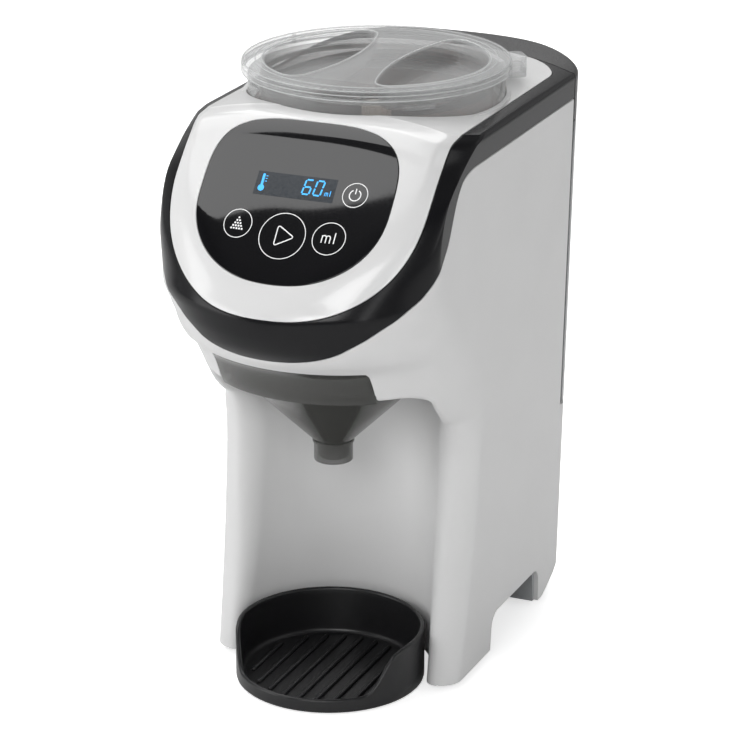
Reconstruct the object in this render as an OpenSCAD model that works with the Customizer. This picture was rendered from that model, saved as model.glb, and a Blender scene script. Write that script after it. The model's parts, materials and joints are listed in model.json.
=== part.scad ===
// Baby formula maker: powder hopper on top, water tank behind, funnel and bay in front.
// Millimetres. +Z is up, the front faces -Y, the origin is on the counter below the middle.

/* [Body] */
// Depth of the body, from the nose to the back of the tank
body_depth = 244; // [236:1:256]
// Width of the body at the shoulders
body_width = 144; // [140:1:150]
// Height of the top cover above the counter
cover_top = 288.5; // [284:0.5:294]
// Draft of each side wall, in degrees
side_draft = 1.41; // [1:0.01:1.8]
// Height of the casing's lower edge above the counter
skirt_z = 3; // [2.5:0.1:4]
// Wall of the casing and the trim band
wall = 2.5; // [2:0.1:3]
// Thickness of the top cover
cover_wall = 3; // [2.6:0.1:3.4]
// How far the top cover falls from its middle to the shoulders
crown_fall = 9.5; // [8:0.5:11]
// Gap between two fixed parts of the shell
seam = 0.3; // [0.2:0.05:0.5]
// Clearance between a piece that lifts or slides out and its seat
slide_gap = 0.5; // [0.4:0.05:0.8]
// Running clearance of a journal in its bush, on the radius
running_gap = 0.05; // [0.03:0.01:0.09]

/* [Front] */
// Depth of the nose's most forward point below the top cover
nose_drop = 87.5; // [85:0.5:90]
// Width of the trim band beside the white panel, at the shoulders
panel_side = 7.5; // [7:0.1:8.5]
// Depth of the white panel's widest line below the top cover
panel_mid_drop = 26.5; // [25:0.5:28]
// Depth of the white panel's lower edge below the top cover
panel_low_drop = 80; // [78:0.5:81]
// Width of the white panel beside the control glass
glass_side = 16.7; // [14.5:0.1:20]
// Depth of the control glass's widest line below the top cover
glass_mid_drop = 34.5; // [33:0.5:36]
// Height of the control glass above its widest line
glass_rise = 31.5; // [28:0.5:32]
// Depth of the control glass below its widest line
glass_fall = 31.5; // [28:0.5:34]
// Thickness of the control glass
glass_t = 1.8; // [1.5:0.1:2.2]

/* [Bay] */
// Radius of the bay that takes the feeding container
bay_r = 50; // [48:0.5:51]
// Height of the bay's ceiling
bay_top = 159.4; // [156:0.2:161]
// Radius of the arch's corners
arch_r = 6; // [5:0.5:7]
// Width of the rounding along the bay's front edges
bay_flare = 6; // [4:0.5:7]
// Height of the notch between the front and the rear foot
notch_h = 19; // [14:1:20]

/* [Hopper] */
// Distance of the hopper's axis behind the nose
hopper_back = 134.5; // [134:0.5:136]
// Width from the hopper's collar to the side at the shoulders
collar_side = 10; // [9.6:0.1:10.5]
// How far the hopper's collar stands out from its wall
collar_step = 3.5; // [3:0.1:5]
// Depth of the hopper's underside below the top cover
hopper_drop = 68; // [66:0.5:69]
// Height of the hopper's rim above the cover
rim_rise = 5; // [4:0.5:6]
// Wall of the hopper
hopper_wall = 2.2; // [1.8:0.1:2.6]
// How far the lid stands out over the hopper's collar
lid_over = 3; // [2.5:0.1:4]
// Height of the lid's edge
lid_h = 6.2; // [5.5:0.1:7]
// Number of pockets in the dosing wheel
pockets = 12; // [8:1:14]
// Thickness of the dosing wheel
dosing_t = 9; // [7:0.5:10]
// Number of paddles on the stirring wheel
paddles = 4; // [3:1:6]

/* [Drive] */
// Module of the gear teeth
gear_module = 1; // [0.9:0.05:1.05]
// Teeth of the drive gear
drive_teeth = 48; // [44:1:50]
// Teeth of the motor pinion
pinion_teeth = 12; // [10:1:14]
// Width of the gears
gear_w = 6; // [5:0.5:7]
// Radius of the drive shaft
shaft_r = 4; // [3.5:0.1:4.5]
// Width across the flats of the drive dog
dog_flats = 10; // [9:0.2:10.6]
// Radius of the gear motor
motor_r = 17; // [15:0.5:18]
// Length of the gear motor
motor_len = 48; // [40:1:54]

/* [Funnel] */
// Outer radius of the funnel's spout
spout_r = 9.5; // [8:0.1:11]
// Length of the funnel's spout
spout_len = 11; // [8:0.5:14]
// Radius of the funnel's cone at the ceiling
cone_r = 46.5; // [44:0.5:47]
// Half width of the funnel's front plate
funnel_half_w = 39.6; // [36:0.1:39.8]
// Height of the funnel's front plate
funnel_plate_h = 17; // [14:0.5:18]
// Wall of the funnel
funnel_wall = 2; // [1.6:0.1:2.4]

/* [Water] */
// Depth of the part of the tank that shows behind the sides
tank_back = 28; // [26:0.5:29]
// Depth of the tank's inner step
tank_step = 14; // [10:0.5:14.5]
// Height of the tank's underside
tank_z = 104.4; // [100:0.2:110]
// Depth of the tank lid's lower edge below the top cover
tank_lid_drop = 33.2; // [31:0.1:38]
// Wall of the tank
tank_wall = 2.2; // [1.8:0.1:2.6]
// Radius of the tank valve's stem
stem_r = 2.5; // [2:0.1:3]
// Travel of the tank valve
valve_lift = 3; // [2:0.1:3.5]
// Outer radius of the hoses
hose_r = 4; // [3.5:0.1:4.5]
// Radius of the water pump
pump_r = 17; // [15:0.5:19]
// Radius of the heater
heater_r = 14; // [12:0.5:16]
// Length of the heater
heater_len = 84; // [70:1:90]

/* [Tray] */
// Radius of the drip tray
tray_r = 46.5; // [44:0.5:47]
// Height of the tray's wall at its sides and back
tray_h = 27; // [22:1:32]
// Height of the tray's front lip
tray_lip = 7; // [6:0.5:10]
// Wall of the tray
tray_wall = 2.4; // [2:0.1:3]
// Number of ribs on the tray's floor
tray_ribs = 9; // [5:1:11]

/* [Feet] */
// Radius of a rubber foot
foot_r = 6; // [5:0.5:6.5]
// Depth of a rubber foot's seat in the base
foot_seat = 1.5; // [1:0.1:2]

/* [Hidden] */
$fn = 64;
eps = 0.01;
far = 400;

front_y = -body_depth / 2;
rear_y = body_depth / 2;
seam_y = rear_y - tank_back;
top_half_w = body_width / 2;
shoulder_z = cover_top - crown_fall;
nose_z = cover_top - nose_drop;
panel_half_w = top_half_w - panel_side;
panel_mid_z = cover_top - panel_mid_drop;
panel_low_z = cover_top - panel_low_drop;
glass_half_w = panel_half_w - glass_side;
glass_mid_z = cover_top - glass_mid_drop;
collar_r = top_half_w - collar_side;
hopper_r = collar_r - collar_step;
hopper_z = cover_top - hopper_drop;
lid_r = collar_r + lid_over;
tank_lid_z = cover_top - tank_lid_drop;
hopper_y = front_y + hopper_back;
bay_y = front_y + 80;
spout_y = front_y + 82;
drawer_back = spout_y + 36;

// ---- curves -------------------------------------------------------------------------------

// Slope of a smooth curve through the stations at station i
function station_slope(t, i) =
    let (n = len(t) - 1,
         a = i > 0 ? (t[i][1] - t[i - 1][1]) / (t[i][0] - t[i - 1][0]) : 0,
         b = i < n ? (t[i + 1][1] - t[i][1]) / (t[i + 1][0] - t[i][0]) : 0)
    i == 0 ? b : i == n ? a : a * b <= 0 ? 0 : 2 * a * b / (a + b);

// Smooth value at z of stations [z, value]
function curve(t, z) =
    let (n = len(t) - 1,
         q = min(max(z, t[0][0]), t[n][0]),
         i = max([for (k = [0:n - 1]) if (q >= t[k][0]) k]),
         h = t[i + 1][0] - t[i][0],
         s = (q - t[i][0]) / h)
    (2 * pow(s, 3) - 3 * s * s + 1) * t[i][1] + (pow(s, 3) - 2 * s * s + s) * h * station_slope(t, i)
    + (3 * s * s - 2 * pow(s, 3)) * t[i + 1][1] + (pow(s, 3) - s * s) * h * station_slope(t, i + 1);

// Quarter of a superellipse of power p: 0 at t = 0 and 1 at t = 1
function rounding(t, p) = 1 - pow(max(0, 1 - pow(min(max(t, 0), 1), p)), 1 / p);

// ---- outer form ---------------------------------------------------------------------------

// Stations are [height, value]. The legs and the bay's overhang follow the bay, the nose and
// the sloping panel follow the cover.
nose_tip = front_y;
panel_slope = 0.815;
slope_top_z = cover_top - 10.5;
slope_low_z = nose_z + 15;
slope_low_y = nose_tip + 5.7;
slope_top_y = slope_low_y + (slope_top_z - slope_low_z) * panel_slope;
profile = [[skirt_z, front_y + 77.7], [30, front_y + 83.4], [76, front_y + 91.6],
           [bay_top - 43.4, front_y + 96], [bay_top - 31.4, front_y + 91],
           [bay_top - 23.7, front_y + 75], [bay_top - 19.9, front_y + 57],
           [bay_top - 13.4, front_y + 41], [bay_top, front_y + 30],
           [bay_top + 15.9, front_y + 21.8], [nose_z - 15, nose_tip + 7],
           [nose_z - 7, nose_tip + 1.5], [nose_z, nose_tip], [nose_z + 7, nose_tip + 0.5],
           [slope_low_z, slope_low_y], [slope_top_z, slope_top_y],
           [cover_top - 4.5, slope_top_y + 5.2], [cover_top - 1.5, slope_top_y + 10.7],
           [cover_top, slope_top_y + 20.7], [cover_top + 12, slope_top_y + 20.7]];
// Share of the half width that the front corner's rounding takes
corner_share = [[skirt_z, 0.18], [bay_top - 43.4, 0.18], [bay_top - 31.4, 0.29],
                [bay_top - 23.7, 0.65], [bay_top - 19.9, 0.87], [bay_top - 13.4, 0.98],
                [bay_top, 1], [nose_z, 1], [nose_z + 8, 0.97], [nose_z + 15, 0.92],
                [nose_z + 35, 0.63], [nose_z + 56, 0.22], [nose_z + 67, 0.17],
                [cover_top + 12, 0.17]];
// How far the front corner's rounding sets the side back
corner_depth = [[skirt_z, 11], [bay_top - 43.4, 10], [bay_top - 31.4, 14],
                [bay_top - 23.7, 30], [bay_top - 19.9, 45], [bay_top - 13.4, 58],
                [bay_top, 61], [bay_top + 15.9, 60], [nose_z - 15, 68], [nose_z - 7, 69],
                [nose_z, 63], [nose_z + 8, 52], [nose_z + 15, 42], [nose_z + 35, 15],
                [nose_z + 56, 5], [nose_z + 67, 11], [slope_top_z, 20], [cover_top + 12, 22]];
// How much of the cover's crown the front takes over
crown_share = [[skirt_z, 0], [nose_z + 4, 0], [nose_z + 35, 1], [cover_top + 12, 1]];
// Power of the front corner's rounding: 2 is an ellipse, near 1 is a facet
corner_power = [[skirt_z, 2], [nose_z + 35, 2], [nose_z + 61, 1.2], [cover_top + 12, 1.2]];
// Rear: the back's rounding, and the chamfer over the rear feet
rear_share = 0.5;
rear_round = 27;
rear_chamfer = [[skirt_z, 19], [skirt_z + 4, 10], [skirt_z + 10.5, 0], [cover_top + 12, 0]];
crown_power = 2.8;

function half_w(z) = top_half_w - (cover_top - 10 - z) * tan(side_draft);
function crown_drop(x, z) = crown_fall * pow(abs(x) / half_w(z), crown_power);

// Front of the body at x and z, set in by t
function front_of(x, z, t) =
    let (w = half_w(z), c = curve(corner_share, z) * w, a = min(abs(x) * w / (w - t), w))
    curve(profile, z + curve(crown_share, z) * crown_drop(a, z)) + 1.25 * t
    + curve(corner_depth, z) * rounding((a - (w - c)) / c, curve(corner_power, z));

// Back of the body at x and z, set in by t
function back_of(x, z, t) =
    let (w = half_w(z), c = rear_share * w, a = min(abs(x) * w / (w - t), w))
    rear_y - curve(rear_chamfer, z) - t - rear_round * rounding((a - (w - c)) / c, 2);

// Points along half of the front and half of the rear, on outer and on inner faces
fine_steps = [11, 6];
coarse_steps = [8, 3];

// Plan outline of the body at height z, set in by t
function outline(z, t, steps) =
    let (w = half_w(z) - t, n = steps[0], m = steps[1])
    [for (i = [-n:n]) let (x = w * sin(90 * i / n)) [x, front_of(x, z, t), z],
     for (i = [m:-1:0]) [rear_x(w, i, m), back_of(rear_x(w, i, m), z, t), z],
     for (i = [0:m]) [-rear_x(w, i, m), back_of(rear_x(w, i, m), z, t), z]];

// Station i of m round a rear corner: 0 where the flat back ends, m at the side
function rear_x(w, i, m) = w * (1 - rear_share * (1 - sin(90 * i / m)));

levels = [skirt_z, skirt_z + 4, skirt_z + 10.5, 30, 76, bay_top - 43.4, bay_top - 31.4,
          bay_top - 27, bay_top - 23.7, bay_top - 19.9, bay_top - 13.4, bay_top - 7,
          bay_top, bay_top + 8, bay_top + 15.9, nose_z - 15, nose_z - 11, nose_z - 7,
          nose_z - 3, nose_z, nose_z + 4, nose_z + 8, nose_z + 12, nose_z + 15, nose_z + 21,
          nose_z + 28, nose_z + 35, nose_z + 43, nose_z + 50, nose_z + 56, nose_z + 62,
          nose_z + 67, nose_z + 72, slope_top_z, cover_top - 7, cover_top - 4.5, cover_top - 2.5,
          cover_top - 1, cover_top, cover_top + 12];

// Closed solid through a list of level outlines with equal numbers of points
module loft(rings) {
    n = len(rings[0]);
    k = len(rings);
    polyhedron(
        points = [for (r = rings) each r],
        faces = [[for (j = [0:n - 1]) j],
                 for (i = [0:k - 2]) for (j = [0:n - 1])
                     [i * n + j, (i + 1) * n + j, i * n + (j + 1) % n],
                 for (i = [0:k - 2]) for (j = [0:n - 1])
                     [(i + 1) * n + j, (i + 1) * n + (j + 1) % n, i * n + (j + 1) % n],
                 [for (j = [n - 1:-1:0]) (k - 1) * n + j]]);
}

// Extrudes a (y, z) outline along X, centred
module across(w) {
    rotate([90, 0, 90]) linear_extrude(w, center = true, convexity = 6) children();
}

// Extrudes an (x, z) outline along Y, centred
module along(d) {
    rotate([90, 0, 0]) linear_extrude(d, center = true, convexity = 6) children();
}

crown_points = 14;
// Everything below the crowned top, set in by t
module under_crown(t) {
    translate([0, 0, -t]) along(far)
        polygon([[-top_half_w - 9, -60],
                 for (i = [-crown_points:crown_points])
                     let (u = sin(90 * i / crown_points), x = (top_half_w + 2) * u)
                     [x, cover_top - crown_drop(x, shoulder_z)],
                 [top_half_w + 9, -60]]);
}

// The body's outer form between two heights, set in by t
module body_form(t, z0, z1, steps = fine_steps) {
    inside = [for (i = [0:len(levels) - 1])
                  if (levels[i] > z0 + 1 && levels[i] < z1 - 1 && (steps == fine_steps || i % 2 == 0)) levels[i]];
    intersection() {
        loft([for (z = concat([z0], inside, [z1])) outline(z, t, steps)]);
        under_crown(t);
    }
}

// A skin of the body between two heights and two depths
module skin(outer, inner, z0, z1, inner_steps = coarse_steps) {
    difference() {
        body_form(outer, z0, z1);
        body_form(inner, z0 - 1, z1 + 1, inner_steps);
    }
}

// The body's back between two heights, set in by t, as far forward as y
module back_form(t, z0, z1, y, steps = fine_steps) {
    m = steps[1];
    intersection() {
        loft([for (z = [z0, z1]) let (w = half_w(z) - t)
            [[-w, y - rear_round - 4, z], [w, y - rear_round - 4, z],
             for (i = [m:-1:0]) [rear_x(w, i, m), back_of(rear_x(w, i, m), z, t), z],
             for (i = [0:m]) [-rear_x(w, i, m), back_of(rear_x(w, i, m), z, t), z]]]);
        under_crown(t);
        translate([-far / 2, y, 0]) cube(far);
    }
}

// ---- outlines on the body -----------------------------------------------------------------

edge_steps = 20;
glass_low_power = 2.2;
glass_top_power = 3.5;

// White panel, seen from the front, grown by g: open upwards
module panel_outline(g) {
    w = panel_half_w + g;
    h = panel_mid_z - panel_low_z + g;
    polygon([[w + 0.6, cover_top + 20], [-w - 0.6, cover_top + 20],
             for (i = [-edge_steps:edge_steps])
                 let (a = 90 * i / edge_steps)
                 [w * sign(i) * pow(abs(sin(a)), 2 / 2.5),
                  panel_mid_z - h * pow(cos(a), 2 / 2.5)]]);
}

// Control glass, seen from the front, grown by g
module glass_outline(g) {
    n = 2 * edge_steps;
    polygon([for (i = [0:n - 1])
        let (a = 360 * i / n, p = sin(a) < 0 ? glass_low_power : glass_top_power,
             h = sin(a) < 0 ? glass_fall : glass_rise)
        [(glass_half_w + g) * sign(cos(a)) * pow(abs(cos(a)), 2 / p),
         glass_mid_z + (h + g) * sign(sin(a)) * pow(abs(sin(a)), 2 / p)]]);
}

// Lower edge of the trim band, seen from the side, as [y, z] stations from the front
band_edge = [[front_y - 8, nose_z - 24], [front_y + 6, nose_z - 14.6],
             [front_y + 14, nose_z - 3.5], [front_y + 24.8, nose_z + 9.5],
             [front_y + 34, nose_z + 16.2], [front_y + 47.3, nose_z + 30.4],
             [front_y + 53, nose_z + 37.5], [front_y + 57.9, nose_z + 47.4],
             [front_y + 63.2, nose_z + 56.9], [front_y + 71.2, nose_z + 63.8],
             [front_y + 84, nose_z + 65.8], [rear_y + 20, nose_z + 65.8]];
band_step = 4;

// Everything above the trim band's lower edge, lowered by g
module above_band(g) {
    across(far)
        polygon([for (y = [band_edge[0][0]:band_step:front_y + 86]) [y, curve(band_edge, y) - g],
                 [rear_y + 20, nose_z + 65.8 - g], [rear_y + 20, cover_top + 30],
                 [front_y - 8, cover_top + 30]]);
}

// ---- bay ----------------------------------------------------------------------------------

arc_steps = 6;
flare_steps = 2;

// How far the bay's sides stand out from its radius, as stations of height
bay_spread = [[skirt_z, -1.3], [50, -1.1], [76, 0.3], [bay_top - 43.4, 2.3],
              [bay_top - 26, 2.3], [bay_top - 13, 3], [bay_top + 4, 3]];

// Half width of the bay at height z: the arch's corners draw in below the ceiling
function bay_half(z, g) =
    let (r = bay_r + g + curve(bay_spread, z), u = max(0, z - (bay_top + g - arch_r)) / arch_r)
    r - arch_r * rounding(u, 2);

// Half width of the bay at y, where it is w at its widest
function bay_wall(y, w, g) = w * sqrt(1 - pow(min(1, max(0, y - bay_y) / (bay_r + g)), 2));

// Plan outline of the bay at height z, grown by g: the walls flare out to the front edges
function bay_outline(z, g) =
    let (w = bay_half(z, g), lip = front_of(bay_r + 2, max(z, skirt_z), 0) + 1.3 * g,
         f = bay_flare, start = lip + f + 1,
         a0 = asin(max(0, start + 1 - bay_y) / (bay_r + g)), x0 = bay_wall(start, w, g))
    [for (i = [0:arc_steps * 2]) let (a = a0 + (90 - a0) * i / arc_steps)
         [w * cos(a), bay_y + (bay_r + g) * sin(a), z],
     for (i = [0:flare_steps]) let (u = i / flare_steps)
         [-x0 - (w + f - x0) * rounding(u, 2), start - (f + 1) * u, z],
     [-w - f, front_y - 30, z], [w + f, front_y - 30, z],
     for (i = [flare_steps:-1:0]) let (u = i / flare_steps)
         [x0 + (w + f - x0) * rounding(u, 2), start - (f + 1) * u, z]];

// The bay's space, grown by g
module bay_form(g = 0) {
    loft([for (z = [skirt_z - 5, 30, 76, bay_top - 43.4, bay_top - 32, bay_top - 26,
                    bay_top - 21, bay_top - 16, for (i = [0:3])
                    bay_top + g - arch_r * (1 - sin(90 * i / 3)) - eps])
          [for (p = bay_outline(z, g)) [p[0], p[1], z]]]);
}

// ---- shell pieces -------------------------------------------------------------------------

notch_front = front_y + 128.5;
notch_rear = front_y + 194;
foot_line = skirt_z + notch_h;

// Notch between the feet, seen from the side, raised by g
module notch_outline(g) {
    polygon([[notch_front - g, -5], [notch_front - g, skirt_z + 11.5], [notch_front + 6 - g, foot_line - 1 + g],
             [notch_rear - 9, foot_line + 0.5 + g], [notch_rear - 2.5 + g, foot_line - 4],
             [notch_rear + g, -5]]);
}

ledge_z = tank_z - slide_gap;
ledge_t = 3;
slot_low = bay_top + wall;

// Opening for the funnel's upper half, from the front
module funnel_slot(g) {
    translate([-funnel_half_w - g, front_y - 20, bay_top - 1])
        cube([2 * (funnel_half_w + g), drawer_back + g - front_y + 20, 2 + funnel_plate_h + g]);
}

boss_r = 4.5;
boss_h = 12;
screw_r = 1.5;

module casing() color("gainsboro") difference() {
    union() {
        shell();
        // Bosses for the base's screws
        for (p = screw_places) translate([p[0], p[1], skirt_z + base_t]) cylinder(r = boss_r, h = boss_h);
    }
    for (p = screw_places) translate([p[0], p[1], skirt_z]) cylinder(r = screw_r, h = boss_h + base_t - 2);
}

// The casing's side, front and bay walls
module shell() difference() {
    intersection() {
        body_form(0, skirt_z, nose_z + 70);
        union() {
            difference() {
                translate([-far / 2, -far / 2, 0]) cube(far);
                body_form(wall, skirt_z - 5, nose_z + 72, coarse_steps);
            }
            bay_form(wall);
        }
    }
    above_band(seam / 2);
    bay_form();
    across(far) notch_outline(0);
    translate([-far / 2, seam_y, ledge_z]) cube(far);
    funnel_slot(slide_gap);
    translate([0, rear_y + 10, inlet_z]) rotate([90, 0, 0]) linear_extrude(20 + wall)
        translate([inlet_x, 0]) inlet_outline(0.15);
}

module trim_band() color("#2b2b2d") difference() {
    intersection() {
        skin(0, wall, nose_z - 22, cover_top + 12);
        above_band(-seam / 2);
    }
    intersection() {
        along(far) panel_outline(seam);
        cover_plan(seam);
    }
    translate([-far / 2, seam_y, 0]) cube(far);
}

cover_hole_r = collar_r + slide_gap;
flange_z = shoulder_z;
cover_corner = 17;

// The top cover from above, grown by g: its rear corners are rounded
module cover_plan(g) {
    w = panel_half_w + g;
    linear_extrude(far) {
        translate([-w - 0.6, -far / 2]) square([2 * w + 1.2, far / 2 + seam_y - cover_corner]);
        for (s = [-1, 1]) translate([s * (w + 0.6 - cover_corner - g), seam_y - cover_corner]) circle(r = cover_corner + g);
        translate([-w - 0.6 + cover_corner + g, 0]) square([2 * (w + 0.6 - cover_corner - g), seam_y + g]);
    }
}

module top_cover() color("white") difference() {
    union() {
        intersection() {
            skin(0, cover_wall, nose_z + 2, cover_top + 12);
            along(far) panel_outline(0);
            cover_plan(0);
        }
        intersection() {
            under_crown(1);
            translate([0, hopper_y, flange_z]) cylinder(r = cover_hole_r + 2.2, h = 30);
        }
        // Bosses for the board behind the glass
        on_slope(boss_depth) for (p = board_screws)
            translate([p[0], 0, p[1]]) rotate([-90, 0, 0]) cylinder(r = 3, h = board_gap - boss_depth);
    }
    translate([-far / 2, seam_y, 0]) cube(far);
    translate([0, hopper_y, 150]) cylinder(r = cover_hole_r, h = 200);
    difference() {
        translate([0, front_y, 0]) along(2 * hopper_back - 110) glass_outline(0.2);
        body_form(glass_t + 0.05, nose_z + 13, cover_top + 10);
    }
    translate([0, front_y, 0]) along(2 * hopper_back - 110) glass_outline(-4);
}

module control_glass() color("#111113") intersection() {
    skin(0, glass_t, nose_z + 14, cover_top + 11, fine_steps);
    translate([0, front_y, 0]) along(2 * hopper_back - 110) glass_outline(0);
}

// Places a flat part behind the sloping panel: depth is its distance below the outer face
module on_slope(depth) {
    translate([0, slope_low_y, slope_low_z]) rotate([-atan(panel_slope), 0, 0])
        translate([0, depth, 0]) children();
}
board_gap = 6.5;
display_w = 42;
display_h = 14;
display_up = 56;
boss_depth = 4.2;
board_screws = [[-37, 24], [37, 24], [-47, 60], [47, 60]];

module display_module() color("#15202c")
    on_slope(board_gap - 4) translate([-display_w / 2, 0, display_up - display_h / 2])
        cube([display_w, 4, display_h]);

module key_board() color("#1d5a36") on_slope(board_gap) {
    translate([-40, 0, 20]) cube([80, 1.6, 52]);
    translate([-51, 0, 55]) cube([102, 1.6, 10]);
    // One sensing pad behind each touch key
    for (p = [[-23.5, 34, 7], [0, 31, 10], [23, 33, 7.5], [29, 52, 5.5]])
        translate([p[0], 0, p[1]]) rotate([90, 0, 0]) cylinder(r = p[2], h = 1);
}

// ---- frame and base -----------------------------------------------------------------------

drawer_half = funnel_half_w - 3.4;
plate_back = bay_y - 34;
rail_x = drawer_half + slide_gap;
rail_w = 9.4;
rail_h = 9;
rail_z = slot_low;
rail_slot = 3;
rail_front = plate_back + 1;
rail_back = drawer_back + 7;

module bay_rails() color("dimgray")
    for (s = [0, 1]) mirror([s, 0, 0]) difference() {
        translate([rail_x, rail_front, rail_z]) cube([rail_w, rail_back - rail_front, rail_h]);
        translate([rail_x - 1, rail_front - 1, rail_z + rail_slot])
            cube([4.7, drawer_back + slide_gap - rail_front + 1, rail_slot]);
    }

deck_z = bay_top + 33;
deck_t = 2.5;
deck_half = top_half_w - 14;
motor_y = hopper_y + gear_module * (drive_teeth + pinion_teeth) / 2;
chute_y = hopper_y - 42;
deck_front = bay_y - 16;
deck_back = seam_y - tank_step - 7;
well_post = hopper_r - 6.5;

module inner_frame() color("lightgray") difference() {
    union() {
        translate([-deck_half, deck_front, deck_z]) cube([2 * deck_half, deck_back - deck_front, deck_t]);
        // Legs on the rails
        for (s = [-1, 1], y = [deck_front, bay_y + 26])
            translate([s * (rail_x + rail_w / 2) - 2, y, rail_z + rail_h]) cube([4, 12, deck_z - rail_z - rail_h + 1]);
        translate([0, hopper_y, deck_z]) cylinder(r = 9, h = 7);
        // Posts under the hopper's well
        for (a = [45:90:315]) translate([well_post * cos(a), hopper_y + well_post * sin(a), deck_z])
            cylinder(r = 3.5, h = well_z - deck_z);
    }
    translate([0, hopper_y, deck_z - 1]) cylinder(r = shaft_r + 2, h = 20);
    translate([0, motor_y, deck_z - 1]) cylinder(r = 7.5, h = 5);
    for (x = [-motor_bolt, motor_bolt]) translate([x, motor_y, deck_z - 1]) cylinder(r = 1.6, h = 5);
    translate([0, chute_y, deck_z - 1]) cylinder(r = chute_r + 0.3, h = 5);
}

base_t = 2.5;
base_gap = 0.02;
foot_ring_z = skirt_z;

// Profile of the base plate in (y, z): down in the feet, raised over the notch
module base_outline() {
    difference() {
        polygon([[front_y + 60, foot_ring_z], [rear_y + 2, foot_ring_z], [rear_y + 2, foot_line + 3.5],
                 [front_y + 60, foot_line + 3.5]]);
        polygon([[front_y + 50, foot_ring_z + base_t], [notch_front - base_t, foot_ring_z + base_t],
                 [notch_front - base_t, skirt_z + 13], [notch_front + 5 - base_t, foot_line + 1 + base_t],
                 [notch_front + 5, foot_line + 9], [front_y + 50, foot_line + 9]]);
        polygon([[rear_y + 9, foot_ring_z + base_t], [notch_rear + base_t, foot_ring_z + base_t],
                 [notch_rear + base_t, foot_line + 9], [rear_y + 9, foot_line + 9]]);
    }
}

foot_places = [for (s = [-1, 1]) each [[s * (top_half_w - 16.5), front_y + 104], [s * (top_half_w - 26), rear_y - 34]]];
screw_places = [for (y = [front_y + 120, rear_y - 42], s = [-1, 1]) [s * (half_w(skirt_z) - wall - 3.2), y]];

module base_plate() color("silver") difference() {
    intersection() {
        body_form(wall + base_gap, skirt_z - 5, nose_z, coarse_steps);
        across(far) base_outline();
    }
    bay_form(wall + base_gap);
    across(far) notch_outline(0);
    for (p = foot_places) translate([p[0], p[1], 0]) cylinder(r = foot_r + 0.05, h = foot_ring_z + foot_seat);
    for (p = screw_places) translate([p[0], p[1], 0]) cylinder(r = 1.6, h = 30);
}

module rubber_feet() color("#303032")
    for (p = foot_places) translate([p[0], p[1], 0]) {
        cylinder(r = foot_r, h = foot_ring_z + foot_seat - 0.02);
    }

module base_screws() color("lightsteelblue")
    for (p = screw_places) translate([p[0], p[1], foot_ring_z - 1.2]) {
        difference() {
            cylinder(r = 3, h = 1.2);
            for (a = [0, 90]) rotate(a) translate([-2, -0.4, -eps]) cube([4, 0.8, 0.7]);
        }
        cylinder(r = screw_r - 0.02, h = 10);
    }

panel_y = seam_y - tank_step - slide_gap - 0.1;
panel_t = 2;

module rear_panel() color("gainsboro") difference() {
    intersection() {
        back_form(wall + base_gap, ledge_z - ledge_t - 1, cover_top, panel_y - 20, coarse_steps);
        union() {
            translate([-far / 2, panel_y - panel_t, ledge_z - ledge_t]) cube([far, panel_t, cover_top - 12 - ledge_z]);
            translate([-far / 2, panel_y - panel_t, ledge_z - ledge_t]) cube([far, 80, ledge_t]);
        }
    }
    translate([dock_x, dock_y, ledge_z - 10]) cylinder(r = dock_r + 0.1, h = 30);
}

inlet_z = 38;
inlet_x = -19.5;

// Outline of the two-pole power inlet, grown by g
module inlet_outline(g) {
    hull() for (s = [-1, 1]) translate([s * 6, 0]) circle(r = 6 + g, $fn = 32);
}

module power_inlet() color("#202022")
    translate([inlet_x, 0, inlet_z]) {
        difference() {
            translate([0, rear_y - 1, 0]) rotate([90, 0, 0]) linear_extrude(18) inlet_outline(0);
            translate([0, rear_y, 0]) rotate([90, 0, 0]) linear_extrude(15) inlet_outline(-1.8);
        }
        for (s = [-1, 1]) translate([s * 4, rear_y - 18, 0]) rotate([-90, 0, 0])
            cylinder(r = 1.2, h = 13, $fn = 24);
        // Flange behind the casing's wall
        translate([-13, rear_y - wall - 2.2, -9]) difference() {
            cube([26, 2.2, 18]);
            translate([13, 3, 9]) rotate([90, 0, 0]) linear_extrude(4) inlet_outline(-1.8);
        }
    }

board_x = 11 - top_half_w;

module power_board() color("#1d5a36") {
    translate([board_x, hopper_y + 12, machine_z]) cube([1.6, 46, 62]);
    color("#3b5f86") translate([board_x + 1.6, hopper_y + 18, foot_line + 12]) cube([14, 20, 18]);
    color("#26262a") for (i = [0:1]) translate([board_x + 1.6, hopper_y + 26 + 15 * i, foot_line + 48])
        rotate([0, 90, 0]) cylinder(r = 5, h = 16, $fn = 32);
}

// ---- drive --------------------------------------------------------------------------------

well_gap = 0.8;
well_z = hopper_z - 3;
well_wall = 1.7;
bush_r = 7.5;
outlet_r1 = 34;
outlet_r2 = 50;
outlet_half = 13;

// Sector between two radii, pointing to the front
module sector(r1, r2, half, h) {
    rotate([0, 0, -90 - half]) rotate_extrude(angle = 2 * half) translate([r1, 0]) square([r2 - r1, h]);
}

module hopper_well() color("whitesmoke") translate([0, hopper_y, 0]) difference() {
    union() {
        translate([0, 0, well_z]) cylinder(r = hopper_r + well_gap + well_wall, h = flange_z - well_z);
        // Flange under the cover
        intersection() {
            translate([0, 0, flange_z - 2.4]) cylinder(r = cover_hole_r + 2.2, h = 2.4);
            under_crown(cover_wall + 0.1);
        }
    }
    translate([0, 0, well_z + 2.5]) cylinder(r = hopper_r + well_gap, h = 100);
    translate([0, 0, well_z - 1]) cylinder(r = bush_r, h = 10);
    translate([0, 0, well_z - 1]) sector(outlet_r1, outlet_r2, outlet_half, 10);
}

module well_bush() color("tan") translate([0, hopper_y, well_z]) difference() {
    cylinder(r = bush_r, h = 2.5);
    translate([0, 0, -1]) cylinder(r = shaft_r + running_gap, h = 5);
}

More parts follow.
